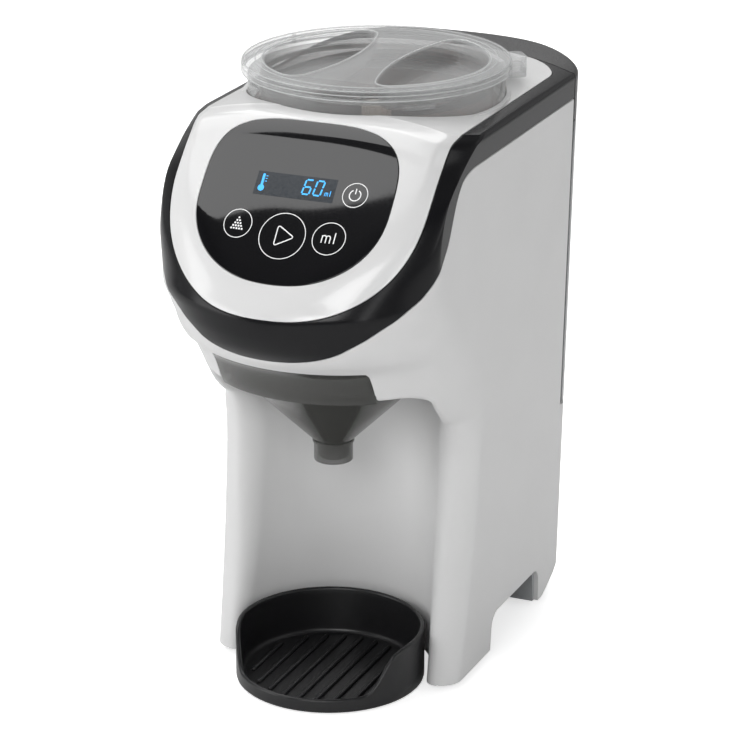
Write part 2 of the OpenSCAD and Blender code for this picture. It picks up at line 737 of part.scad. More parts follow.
chute_r = 11;
chute_top = well_z;
chute_low = bay_top + 18.5 + slide_gap;

module powder_chute() color("whitesmoke") difference() {
    union() {
        translate([0, chute_y, chute_low]) cylinder(r = chute_r, h = chute_top - chute_low - 6);
        translate([0, chute_y, chute_top - 12]) cylinder(r1 = chute_r, r2 = chute_r + 4, h = 12);
    }
    translate([0, chute_y, chute_low - 1]) cylinder(r = chute_r - 1.6, h = 60);
    translate([0, chute_y, chute_top - 10.5]) cylinder(r1 = chute_r - 1.6, r2 = chute_r + 2.2, h = 10.6);
}

gear_z = deck_z + deck_t + 8;
motor_bolt = 11;
pinion_shaft = 2.4;

// Flat outline of a spur gear: teeth with sloping flanks that clear their partner's
module gear_outline(teeth) {
    r = gear_module * teeth / 2;
    polygon([for (i = [0:teeth - 1]) for (k = [[-0.29, -1.2], [-0.13, 0.95], [0.13, 0.95], [0.29, -1.2]])
        let (a = 360 * (i + k[0]) / teeth, q = r + gear_module * k[1]) [q * cos(a), q * sin(a)]]);
}

module gear_motor() color("#8f9499") {
    translate([0, motor_y, deck_z - motor_len]) difference() {
        union() {
            cylinder(r = motor_r, h = motor_len);
            translate([0, 0, -6]) cylinder(r = motor_r * 0.55, h = 6);
        }
        translate([0, 0, motor_len - 14]) cylinder(r = pinion_shaft + 0.8, h = 10);
        translate([0, 0, motor_len - 5]) cylinder(r = pinion_shaft + running_gap, h = 6);
        for (x = [-motor_bolt, motor_bolt]) translate([x, 0, motor_len - 8]) cylinder(r = 1.3, h = 10);
    }
}

module motor_screws() color("lightsteelblue")
    for (x = [-motor_bolt, motor_bolt]) translate([x, motor_y, 0]) {
        translate([0, 0, deck_z - 7]) cylinder(r = 1.28, h = deck_t + 7);
        translate([0, 0, deck_z + deck_t]) cylinder(r = 2.6, h = 1.6);
    }

pinion_turn = 0.5;

module motor_pinion() color("burlywood") translate([0, motor_y, 0]) {
    translate([0, 0, gear_z - 0.5]) rotate([0, 0, 90 + pinion_turn * 360 / pinion_teeth])
        linear_extrude(gear_w + 1) gear_outline(pinion_teeth);
    translate([0, 0, deck_z - 12]) cylinder(r = pinion_shaft, h = gear_z - deck_z + 12 + gear_w + 1.5);
}

module drive_gear() color("ivory") translate([0, hopper_y, gear_z]) difference() {
    union() {
        rotate([0, 0, 90]) linear_extrude(gear_w) gear_outline(drive_teeth);
        translate([0, 0, -1]) cylinder(r = 8, h = gear_w + 3);
    }
    translate([0, 0, -2]) cylinder(r = shaft_r, h = gear_w + 6);
    // Web between the rim and the hub
    for (z = [-1, gear_w - 1.8]) translate([0, 0, z]) difference() {
        cylinder(r = gear_module * (drive_teeth / 2 - 4), h = 2.8);
        translate([0, 0, -1]) cylinder(r = 8, h = 5);
    }
}

dog_low = hopper_z + 0.6;
dog_top = hopper_z + 9.5;

module drive_shaft() color("silver") translate([0, hopper_y, 0]) {
    translate([0, 0, deck_z + 1.3]) cylinder(r = shaft_r, h = dog_low - deck_z - 1.3 + eps);
    translate([0, 0, dog_low]) cylinder(r = dog_flats / 2 / cos(30), h = dog_top - dog_low, $fn = 6);
}

module shaft_bush() color("tan") translate([0, hopper_y, deck_z]) difference() {
    cylinder(r = shaft_r + 2, h = 7);
    translate([0, 0, 1]) cylinder(r = shaft_r + running_gap, h = 7);
}

// ---- hopper -------------------------------------------------------------------------------

hopper_floor = 2.5;
rim_z = cover_top + rim_rise;
journal_r = 9;
wheel_z = hopper_z + hopper_floor + 0.4;
wheel_r = hopper_r - hopper_wall - 0.8;
guard_z = wheel_z + dosing_t + 0.5;
lug_count = 4;
tab_reach = 74;

module hopper() color("#d5d8d8", 0.5) translate([0, hopper_y, 0]) difference() {
    union() {
        translate([0, 0, hopper_z]) cylinder(r = hopper_r, h = rim_z - hopper_z);
        translate([0, 0, flange_z + 0.6]) cylinder(r = collar_r, h = rim_z - flange_z - 0.6);
        // Lugs that the lid turns under
        for (i = [0:lug_count - 1]) rotate([0, 0, 35 + 360 * i / lug_count]) translate([0, 0, rim_z - 4])
            rotate_extrude(angle = 14) translate([collar_r - 1, 0]) square([2, 2]);
        // Lock tab over the cover, behind the hopper on the right
        rotate([0, 0, 38]) {
            translate([collar_r - 2, -6, cover_top - 2]) cube([tab_reach - collar_r + 2, 12, rim_z - cover_top + 1.5]);
            translate([lid_r + 1, -6, cover_top - 2]) cube([tab_reach - lid_r - 1, 12, rim_z - cover_top + 5]);
        }
    }
    translate([0, 0, hopper_z + hopper_floor]) cylinder(r = hopper_r - hopper_wall, h = 100);
    translate([0, 0, hopper_z - 1]) cylinder(r = journal_r + running_gap, h = 10);
    translate([0, 0, hopper_z - 1]) sector(outlet_r1, outlet_r2, outlet_half, 10);
}

module powder_guard() color("gainsboro", 0.8) translate([0, hopper_y, guard_z]) {
    difference() {
        sector(20, hopper_r - hopper_wall, outlet_half + 12, 1.6);
        translate([0, 0, -1]) cylinder(r = 20, h = 5);
    }
}

module dosing_wheel() color("salmon") translate([0, hopper_y, 0]) difference() {
    union() {
        translate([0, 0, wheel_z]) cylinder(r = wheel_r, h = dosing_t);
        translate([0, 0, hopper_z + 0.3]) cylinder(r = journal_r, h = 8);
    }
    for (i = [0:pockets - 1]) rotate([0, 0, 360 * (i + 0.5) / pockets])
        translate([(outlet_r1 + outlet_r2) / 2, 0, wheel_z - 1]) cylinder(r = 6.5, h = dosing_t + 2);
    // Socket for the drive dog
    translate([0, 0, hopper_z - 1]) cylinder(r = (dog_flats + 0.7) / 2 / cos(30), h = 11.4, $fn = 6);
}

stir_z = guard_z + 1.6 + 0.6;
stir_h = 22;

module stirring_wheel() color("salmon") translate([0, hopper_y, 0]) {
    difference() {
        translate([0, 0, wheel_z + dosing_t]) cylinder(r = 12, h = stir_z + stir_h - wheel_z - dosing_t);
        translate([0, 0, stir_z + 8]) cylinder(r = 6.5, h = 40);
    }
    for (i = [0:paddles - 1]) rotate([0, 0, 20 + 360 * i / paddles]) {
        difference() {
            translate([11, -1.4, stir_z]) cube([wheel_r - 14, 2.8, stir_h]);
            translate([wheel_r * 0.62, 2, stir_z + stir_h + 3]) rotate([90, 0, 0]) cylinder(r = 15, h = 4);
        }
    }
}

module centre_post() color("linen") translate([0, hopper_y, stir_z + 8]) {
    difference() {
        union() {
            cylinder(r = 6.5, h = 34);
            // Fine grip ribs round the post
            for (i = [0:17]) rotate([0, 0, 20 * i]) translate([6.2, -0.5, stir_h - 7]) cube([1, 1, 18]);
        }
        translate([0, 0, 20]) cylinder(r = 4.8, h = 30);
    }
}

lid_low = rim_z + 0.3;
lid_top = lid_low + lid_h;
lid_sink = 14;
grip_half = 14;
plug_r = hopper_r - hopper_wall - 1.2;
well_lid_r = plug_r - 2.4;
seal_in = 0.8;

// One of the two scooped wells beside the lid's grip, in plan, out to radius r
module lid_scoop(r) {
    intersection() {
        circle(r = r);
        translate([grip_half, -r]) square([2 * r, 2 * r]);
    }
}

module hopper_lid() color("#e2e5e5", 0.45) translate([0, hopper_y, 0]) {
    difference() {
        union() {
            translate([0, 0, lid_low]) cylinder(r = lid_r, h = lid_h);
            // Plug inside the hopper
            translate([0, 0, lid_top - lid_sink - 2]) cylinder(r = plug_r, h = lid_sink);
        }
        for (s = [0, 180]) rotate([0, 0, s]) {
            translate([0, 0, lid_top - lid_sink]) linear_extrude(40) lid_scoop(well_lid_r);
            translate([0, 0, lid_top - 3]) linear_extrude(10) lid_scoop(well_lid_r + 3.4);
        }
        // Hollow under the grip, open downwards
        translate([0, 0, lid_top - lid_sink - 3]) linear_extrude(lid_sink + 1) intersection() {
            square([2 * grip_half - 4, 2 * well_lid_r - 4], center = true);
            circle(r = well_lid_r - 1);
        }
        // Groove for the seal
        translate([0, 0, lid_low - 3.2]) difference() {
            cylinder(r = lid_r, h = 2.2);
            translate([0, 0, -1]) cylinder(r = plug_r - seal_in, h = 5);
        }
    }
}

module lid_seal() color("lightgray") translate([0, hopper_y, lid_low - 3.2]) difference() {
    cylinder(r = hopper_r - hopper_wall - 0.4, h = 2.2);
    translate([0, 0, -1]) cylinder(r = plug_r - seal_in, h = 5);
}

// ---- funnel -------------------------------------------------------------------------------

cone_top = bay_top - slide_gap;
cone_low = cone_top - (cone_r - spout_r) / 1.04;
drawer_top = bay_top + 1 + funnel_plate_h;

funnel_lip = 1.6;
drawer_floor = 2;

module funnel() color("#55585a", 0.75) difference() {
    union() {
        translate([0, spout_y, cone_low - spout_len]) cylinder(r = spout_r, h = spout_len + 1);
        translate([0, spout_y, cone_low]) cylinder(r1 = spout_r, r2 = cone_r, h = cone_top - cone_low);
        // Drawer above the ceiling, with its curved front plate
        intersection() {
            body_form(0, bay_top - 7, nose_z - 11);
            union() {
                translate([-funnel_half_w, front_y, cone_top - eps])
                    cube([2 * funnel_half_w, plate_back - front_y, drawer_top - cone_top]);
                translate([-drawer_half, front_y, cone_top - eps])
                    cube([2 * drawer_half, drawer_back - front_y, drawer_top - cone_top]);
            }
        }
        // Ribs that run in the rails
        for (s = [0, 1]) mirror([s, 0, 0]) translate([drawer_half - 1, plate_back - 1, rail_z + rail_slot + slide_gap])
            cube([4.1, drawer_back - plate_back + 1, rail_slot - 2 * slide_gap]);
    }
    translate([0, spout_y, 0]) cylinder(r = spout_r - 1.6, h = bay_top - 20);
    translate([0, spout_y, cone_low + funnel_wall - 0.6])
        cylinder(r1 = spout_r - 1.6, r2 = cone_r - funnel_wall - 1.6, h = cone_top - funnel_lip - cone_low - funnel_wall + 0.6);
    // Well over the cone, open at the top
    intersection() {
        body_form(3, bay_top - 8, nose_z - 10, coarse_steps);
        translate([-drawer_half + funnel_wall, front_y, cone_top + drawer_floor])
            cube([2 * (drawer_half - funnel_wall), drawer_back - front_y - funnel_wall, 40]);
    }
    intersection() {
        translate([0, spout_y, cone_top - funnel_lip - eps]) cylinder(r = cone_r - funnel_wall - 2, h = funnel_lip + drawer_floor + 1);
        translate([-drawer_half + funnel_wall, front_y, cone_top - 20])
            cube([2 * (drawer_half - funnel_wall), drawer_back - front_y - funnel_wall, 40]);
    }
}

// ---- tray ---------------------------------------------------------------------------------

tray_y = front_y + 77;
tray_floor = 2.5;

// Height of the tray's wall at y: an S from the front lip to the full height
function tray_wall_top(y) =
    curve([[tray_y - tray_r - 1, tray_lip], [tray_y - tray_r * 0.72, tray_lip + 0.5],
           [tray_y - tray_r * 0.38, tray_h - 2], [tray_y - tray_r * 0.1, tray_h],
           [tray_y + tray_r + 1, tray_h]], y);

module drip_tray() color("#1c1c1e") intersection() {
    difference() {
        translate([0, tray_y, 0]) cylinder(r = tray_r, h = tray_h + 1);
        difference() {
            translate([0, tray_y, tray_floor]) cylinder(r = tray_r - tray_wall, h = 60);
            // Ribs on the floor, along the tray
            for (i = [0:tray_ribs - 1])
                let (x = (i - (tray_ribs - 1) / 2) * 2 * (tray_r - 8) / tray_ribs,
                     half = sqrt(pow(tray_r - 7, 2) - x * x))
                translate([x - 1, tray_y - half, 0]) cube([2, 2 * half, tray_floor + 1.6]);
        }
    }
    across(200) polygon([[tray_y - 60, -1],
        for (i = [0:28]) let (y = tray_y - tray_r - 1 + (2 * tray_r + 2) * i / 28) [y, tray_wall_top(y)],
        [tray_y + 60, -1]]);
}

// ---- water --------------------------------------------------------------------------------

dock_x = 0;
dock_y = rear_y - 15.5;
dock_r = 11;
dock_drop = 16;
neck_in = 2.6;
tank_rim_z = tank_lid_z + 6;
step_top = tank_z + 138;
step_half = top_half_w - 8;
stem_y = dock_y;

// The tank's outer form, set in by t
module tank_form(t, top) {
    back_form(t, tank_z + t, top, seam_y + 2 * seam + t);
    translate([-step_half + t, seam_y - tank_step + t, tank_z + 3 + t])
        cube([2 * (step_half - t), tank_step + 6, step_top - tank_z - 3 - 2 * t]);
}

module water_tank() color("#8d9396", 0.6) difference() {
    union() {
        tank_form(0, tank_lid_z - slide_gap);
        // Neck inside the lid
        back_form(neck_in, tank_lid_z - 1 - slide_gap, tank_rim_z, seam_y + 2 * seam + neck_in);
    }
    tank_form(tank_wall, tank_lid_z - slide_gap - 2);
    back_form(neck_in + 2, tank_z + 30, tank_rim_z + 1, seam_y + 2 * seam + neck_in + 2);
    translate([dock_x, dock_y, tank_z - 1]) cylinder(r = outlet_neck_r, h = 10);
}

outlet_neck_r = 7;

module tank_outlet() color("#3a3d40") translate([dock_x, dock_y, 0]) difference() {
    union() {
        translate([0, 0, tank_z - 7]) cylinder(r = outlet_neck_r, h = 7 + tank_wall);
        translate([0, 0, tank_z + tank_wall]) cylinder(r = outlet_neck_r + 1.6, h = 1.5);
    }
    // Water way, with the guide of the valve's stem across it
    difference() {
        translate([0, 0, tank_z - 8]) cylinder(r = outlet_neck_r - 1.8, h = 30);
        translate([0, 0, tank_z - 3]) cylinder(r = stem_r + 1.6, h = 3);
        for (a = [0, 120, 240]) rotate([0, 0, a]) translate([0, -0.8, tank_z - 3]) cube([outlet_neck_r, 1.6, 3]);
    }
    translate([0, 0, tank_z - 8]) cylinder(r = stem_r + running_gap, h = 30);
}

module tank_valve() color("#d8dadc") translate([dock_x, dock_y, 0]) {
    translate([0, 0, tank_z - 10]) cylinder(r = stem_r, h = 10 + tank_wall + 2);
    translate([0, 0, tank_z + tank_wall + 1.8]) cylinder(r = outlet_neck_r - 0.3, h = 1.5);
    translate([0, 0, tank_z - 11]) cylinder(r = stem_r + 1.4, h = 1.6);
}

spring_wire = 0.45;
spring_turns = 3;

module valve_spring() color("silver") translate([dock_x, dock_y, tank_z - 9.2]) {
    for (i = [0:spring_turns * 2])
        translate([0, 0, spring_wire + i * (6.0 - 2 * spring_wire) / (spring_turns * 2)])
            rotate_extrude($fn = 32) translate([stem_r + 0.9, 0]) circle(r = spring_wire * 0.98, $fn = 16);
}

module dock_cup() color("#4a4d50") translate([dock_x, dock_y, ledge_z]) {
    difference() {
        union() {
            translate([0, 0, -dock_drop]) cylinder(r = dock_r, h = dock_drop);
            translate([0, 0, -ledge_t - 1.6]) cylinder(r = dock_r + 1.6, h = 1.6);
        }
        translate([0, 0, -dock_drop + 2.5]) cylinder(r = dock_r - 2, h = dock_drop);
        translate([0, 0, -dock_drop - 1]) cylinder(r = hose_r - 1.2, h = dock_drop);
    }
    // Pin that opens the tank's valve, on a bar across the water way
    translate([-hose_r, -0.8, -dock_drop + 0.5]) cube([2 * hose_r, 1.6, 2]);
    translate([0, 0, -dock_drop + 0.5]) cylinder(r = 1.6, h = dock_drop - 11 + slide_gap - 0.8);
}

module dock_seal() color("#2c2c2e") translate([dock_x, dock_y, ledge_z - 6]) difference() {
    cylinder(r = dock_r - 2, h = 2);
    translate([0, 0, -1]) cylinder(r = outlet_neck_r + 0.35, h = 5);
}

// Round hose through a list of points whose runs lie along the axes
module hose(path, r) {
    for (i = [0:len(path) - 2])
        let (a = path[i], b = path[i + 1], d = b - a, l = norm(d))
        translate(a) rotate(abs(d[0]) > eps ? [0, d[0] > 0 ? 90 : -90, 0]
                          : abs(d[1]) > eps ? [d[1] > 0 ? -90 : 90, 0, 0] : [d[2] > 0 ? 0 : 180, 0, 0])
            cylinder(r = r, h = l);
    for (i = [1:1:len(path) - 2]) translate(path[i]) sphere(r = r, $fn = 48);
}

// The point g past b on the run from a
function beyond(a, b, g) = b + g * (b - a) / norm(b - a);

module tube(path) let (n = len(path) - 1) difference() {
    hose(path, hose_r);
    hose([beyond(path[1], path[0], 1), for (i = [1:1:n - 1]) path[i], beyond(path[n - 1], path[n], 1)], hose_r - 1.2);
}

machine_z = foot_line + 3.5;
pump_x = -28;
pump_y = rear_y - 64;
pump_h = 40;
pump_in_z = machine_z + 18;
pump_out_z = machine_z + 8;
pump_out_y = pump_y - 8;
port_len = 4;
heater_x = 26;
heater_y = rear_y - 66;
nozzle_y = spout_y + 6;
nozzle_top = chute_low + 3.5;
hose_z = deck_z - hose_r - 1.5;

module inlet_hose() color("#c9cdd0") tube([[dock_x, dock_y, ledge_z - dock_drop], [dock_x, dock_y, pump_in_z],
    [dock_x, pump_y, pump_in_z], [pump_x + pump_r + port_len, pump_y, pump_in_z]]);

module water_pump() color("#2f3338") {
    translate([pump_x, pump_y, machine_z]) {
        cylinder(r = pump_r, h = pump_h * 0.6);
        translate([0, 0, pump_h * 0.6]) cylinder(r = pump_r - 4, h = pump_h * 0.4);
    }
    for (p = [[pump_y, pump_in_z], [pump_out_y, pump_out_z]])
        translate([pump_x, p[0], p[1]]) rotate([0, 90, 0]) cylinder(r = hose_r - 1, h = pump_r + port_len);
}

module pump_hose() color("#c9cdd0") tube([[pump_x + pump_r + port_len, pump_out_y, pump_out_z],
    [heater_x - heater_r - port_len, pump_out_y, pump_out_z]]);

module heater() color("#b8bcc0") {
    translate([heater_x, heater_y, machine_z]) {
        cylinder(r = heater_r, h = heater_len);
        for (i = [1:4]) translate([0, 0, heater_len * i / 5]) cylinder(r = heater_r + 1.5, h = 3);
        cylinder(r = hose_r - 1, h = heater_len + port_len);
    }
    translate([heater_x, pump_out_y, pump_out_z]) rotate([0, -90, 0]) cylinder(r = hose_r - 1, h = heater_r + port_len);
}

module outlet_hose() color("#c9cdd0") tube([[heater_x, heater_y, machine_z + heater_len + port_len],
    [heater_x, heater_y, hose_z], [heater_x, nozzle_y, hose_z], [heater_x, nozzle_y, nozzle_top]]);

module water_nozzle() color("#4a4d50") translate([heater_x, nozzle_y, chute_low]) difference() {
    cylinder(r = hose_r + 1.6, h = nozzle_top - chute_low);
    translate([0, 0, -1]) cylinder(r = 1.4, h = 6);
}

module tank_lid() color("#202022") difference() {
    back_form(0, tank_lid_z, cover_top + 10, seam_y + 2 * seam);
    back_form(2, tank_lid_z - 1, cover_top + 11, seam_y + 2 * seam + 2);
}

casing();
trim_band();
top_cover();
control_glass();
display_module();
key_board();
bay_rails();
inner_frame();
base_plate();
rubber_feet();
base_screws();
rear_panel();
power_inlet();
power_board();
hopper_well();
well_bush();
powder_chute();
gear_motor();
motor_screws();
motor_pinion();
drive_gear();
drive_shaft();
shaft_bush();
water_pump();
heater();
dock_cup();
dock_seal();
inlet_hose();
pump_hose();
outlet_hose();
water_nozzle();
hopper();
powder_guard();
dosing_wheel();
stirring_wheel();
centre_post();
hopper_lid();
lid_seal();
funnel();
drip_tray();
water_tank();
tank_outlet();
tank_valve();
valve_spring();
tank_lid();
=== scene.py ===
"""Dressed model of the baby formula maker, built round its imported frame."""
import json
import math

import bmesh
import bpy
import numpy as np
from bpy.props import FloatProperty, FloatVectorProperty, IntProperty, PointerProperty
from bpy.types import Operator, Panel, PropertyGroup
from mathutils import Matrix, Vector
from mathutils.geometry import tessellate_polygon


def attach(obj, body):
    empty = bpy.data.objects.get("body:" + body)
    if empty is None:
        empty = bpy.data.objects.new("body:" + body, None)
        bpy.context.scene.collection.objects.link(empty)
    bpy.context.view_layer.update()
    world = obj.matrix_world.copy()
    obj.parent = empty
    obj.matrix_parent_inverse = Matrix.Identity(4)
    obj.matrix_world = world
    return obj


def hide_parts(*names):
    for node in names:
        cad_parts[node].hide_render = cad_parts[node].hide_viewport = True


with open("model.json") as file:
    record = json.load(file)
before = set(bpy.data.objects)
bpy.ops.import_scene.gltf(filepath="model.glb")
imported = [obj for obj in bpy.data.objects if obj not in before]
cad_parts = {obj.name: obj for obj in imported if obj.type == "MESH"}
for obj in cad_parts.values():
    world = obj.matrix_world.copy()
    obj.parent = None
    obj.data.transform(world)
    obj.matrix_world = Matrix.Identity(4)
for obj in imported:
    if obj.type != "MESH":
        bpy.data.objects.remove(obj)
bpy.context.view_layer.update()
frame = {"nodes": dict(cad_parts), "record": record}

MM = 0.001
FACE_RUN = 0.815  # how far the slanted face goes back for each unit of height
SLANT = math.hypot(1, FACE_RUN)  # length along the face for each unit of height
PRINT_RISE, WINDOW_RISE, DIGIT_RISE = 0.05, 0.03, 0.06  # heights above the glass
SCOOP_CORNER = 9.0  # rounding where a scoop's arc meets the grip

bl_info = {
    "name": "Baby formula maker",
    "version": (1, 0, 0),
    "blender": (4, 5, 0),
    "location": "View3D > Sidebar > Formula maker",
    "description": "Builds the formula maker's shell, hopper, funnel, tray and tank",
    "category": "Object",
}


def length(name, text, mm):
    """A size property, given in millimetres and kept in metres."""
    return FloatProperty(name=name, description=text, default=mm * MM, unit="LENGTH", precision=5)


def tint(name, text, colour):
    """A colour property."""
    return FloatVectorProperty(name=name, description=text, default=colour, subtype="COLOR",
                               size=3, min=0, max=1)


class FormulaBodySizes(PropertyGroup):
    """Sizes of the moulded body."""

    depth: length("Body depth", "From the nose to the back of the tank", 244)
    width: length("Body width", "Across the shoulders", 144)
    cover_top: length("Cover height", "Height of the top cover above the counter", 288.5)
    draft: FloatProperty(name="Side draft", description="Lean of each side wall",
                         default=math.radians(1.41), subtype="ANGLE")
    skirt: length("Skirt height", "Height of the casing's lower edge", 3)
    crown: length("Crown", "How far the cover falls to the shoulders", 9.5)
    wall: length("Shell wall", "Wall of the casing", 2.5)
    seam: length("Seam", "Gap between two fixed parts of the shell", 0.3)
    shoulder: length("Shoulder edge", "Rounding where the sides meet the cover", 2.2)
    panel_half: length("Panel half width", "Half width of the white panel", 64.5)
    panel_mid: length("Panel middle", "Height of the panel's widest line", 262)
    panel_low: length("Panel foot", "Height of the panel's lower edge", 208.5)
    glass_half: length("Glass half width", "Half width of the control glass", 47.8)
    glass_mid: length("Glass middle", "Height of the glass's widest line", 254)
    glass_rise: length("Glass rise", "Height of the glass above its widest line", 31.5)
    glass_fall: length("Glass fall", "Depth of the glass below its widest line", 31.5)
    cover_corner: length("Cover corner", "Rounding of the cover's rear corners", 17)
    seam_back: length("Tank seam", "Where the casing ends and the tank begins", 94)
    ledge: length("Tank ledge", "Height of the ledge under the tank", 103.9)
    notch_front: length("Notch front", "Front end of the notch between the feet", 6.5)
    notch_rear: length("Notch rear", "Rear end of the notch between the feet", 72)
    notch_top: length("Notch top", "Height of the notch between the feet", 22)


class FormulaBaySizes(PropertyGroup):
    """Sizes of the bay, the funnel and the tray."""

    radius: length("Bay radius", "Radius of the bay", 50)
    middle: length("Bay middle", "Distance of the bay's axis from the middle", -42)
    top: length("Bay height", "Height of the bay's ceiling", 159.4)
    arch: length("Arch corner", "Radius of the arch's corners", 6)
    flare: length("Bay rounding", "Rounding along the bay's front edges", 7)
    arch_flare: length("Arch rounding", "Rounding along the top of the bay's arch", 3)
    funnel_half: length("Funnel half width", "Half width of the funnel's front plate", 39.6)
    funnel_top: length("Funnel top", "Height of the top of the funnel's plate", 177.4)
    spout_middle: length("Spout middle", "Distance of the spout's axis from the middle", -40)
    spout: length("Spout radius", "Outer radius of the spout", 9.5)
    cone: length("Cone radius", "Outer radius of the cone at the ceiling", 45)
    tray: length("Tray radius", "Outer radius of the drip tray", 46.5)
    tray_middle: length("Tray middle", "Distance of the tray's axis from the middle", -45)
    tray_high: length("Tray height", "Height of the tray's wall at its back", 27)
    tray_lip: length("Tray lip", "Height of the tray's front lip", 7)
    tray_wall: length("Tray wall", "Thickness of the tray's wall", 2.4)
    tray_ribs: IntProperty(name="Tray ribs", description="Ribs on the tray's floor", default=9,
                           min=3, max=15)


class FormulaHopperSizes(PropertyGroup):
    """Sizes of the hopper and its lid."""

    middle: length("Hopper middle", "Distance of the hopper's axis from the middle", 12.5)
    radius: length("Hopper radius", "Outer radius below the collar", 58.5)
    collar: length("Collar radius", "Outer radius of the collar", 62)
    wall: length("Hopper wall", "Wall of the hopper", 2.2)
    low: length("Hopper underside", "Height of the hopper's underside", 220.5)
    rim: length("Hopper rim", "Height of the hopper's rim", 293.5)
    lid: length("Lid radius", "Outer radius of the lid", 65)
    lid_top: length("Lid height", "Height of the lid's top", 300)
    sink: length("Scoop depth", "Depth of the scoops beside the grip", 14)
    grip: length("Grip half width", "Half width of the lid's grip", 14)
    tabs: IntProperty(name="Lid tabs", description="Small tabs on the lid's edge", default=8,
                      min=2, max=24)


class FormulaColours(PropertyGroup):
    """Colours of the visible pieces."""

    cover: tint("Cover", "Glossy white of the top cover", (0.71, 0.71, 0.71))
    side: tint("Sides", "Satin grey white of the casing", (0.66, 0.66, 0.66))
    band: tint("Band", "Charcoal of the trim band", (0.006, 0.006, 0.007))
    glass: tint("Glass", "Black of the control glass", (0.004, 0.004, 0.005))
    ink: tint("Key print", "Print of the touch keys", (0.86, 0.86, 0.86))
    digit: tint("Display", "Blue of the display", (0.05, 0.36, 0.78))
    smoke: tint("Smoked plastic", "Grey of the funnel", (0.062, 0.062, 0.058))
    tray: tint("Tray", "Black of the drip tray", (0.011, 0.011, 0.012))
    wheel: tint("Wheels", "Salmon of the dosing and stirring wheels", (0.80, 0.30, 0.20))


# ---- curves ---------------------------------------------------------------------------------


def curve(stations, q):
    """Smooth value at q of stations (place, value)."""
    t = np.asarray(stations, float)
    at, v = t[:, 0], t[:, 1]
    q = np.clip(q, at[0], at[-1])
    h = np.diff(at)
    s = np.diff(v) / h
    m = np.empty(len(v))
    m[0], m[-1] = s[0], s[-1]
    product, total = s[:-1] * s[1:], s[:-1] + s[1:]
    m[1:-1] = np.where(product > 0, 2 * product / np.where(product > 0, total, 1), 0)
    i = np.clip(np.searchsorted(at, q, side="right") - 1, 0, len(h) - 1)
    u = (q - at[i]) / h[i]
    return ((2 * u**3 - 3 * u**2 + 1) * v[i] + (u**3 - 2 * u**2 + u) * h[i] * m[i]
            + (3 * u**2 - 2 * u**3) * v[i + 1] + (u**3 - u**2) * h[i] * m[i + 1])


def rounding(t, power):
    """Quarter of a superellipse: 0 at t = 0 and 1 at t = 1."""
    t = np.clip(t, 0, 1)
    return 1 - np.maximum(0, 1 - t**power) ** (1 / power)


def smooth(t):
    """Smooth step from 0 to 1."""
    t = np.clip(t, 0, 1)
    return t * t * (3 - 2 * t)


def rounded_rect(a, b, half_a, half_b, r):
    """Signed distance to a rounded rectangle, negative inside."""
    da, db = np.abs(a) - half_a + r, np.abs(b) - half_b + r
    return np.hypot(np.maximum(da, 0), np.maximum(db, 0)) + np.minimum(np.maximum(da, db), 0) - r


def in_polygon(a, b, loop):
    """Signed distance to a closed polygon in a plane, positive inside."""
    near, inside = np.full(np.shape(a), 1e9), np.zeros(np.shape(a), bool)
    for (a0, b0), (a1, b1) in zip(loop, np.roll(loop, -1, 0)):
        da, db = a1 - a0, b1 - b0
        t = np.clip(((a - a0) * da + (b - b0) * db) / max(da * da + db * db, 1e-12), 0, 1)
        near = np.minimum(near, np.hypot(a - a0 - t * da, b - b0 - t * db))
        if db:
            inside ^= ((b0 > b) != (b1 > b)) & (a < a0 + (b - b0) * da / db)
    return np.where(inside, near, -near)


def unit(v):
    """Vectors brought to length one."""
    return v / np.maximum(np.linalg.norm(v, axis=-1, keepdims=True), 1e-12)


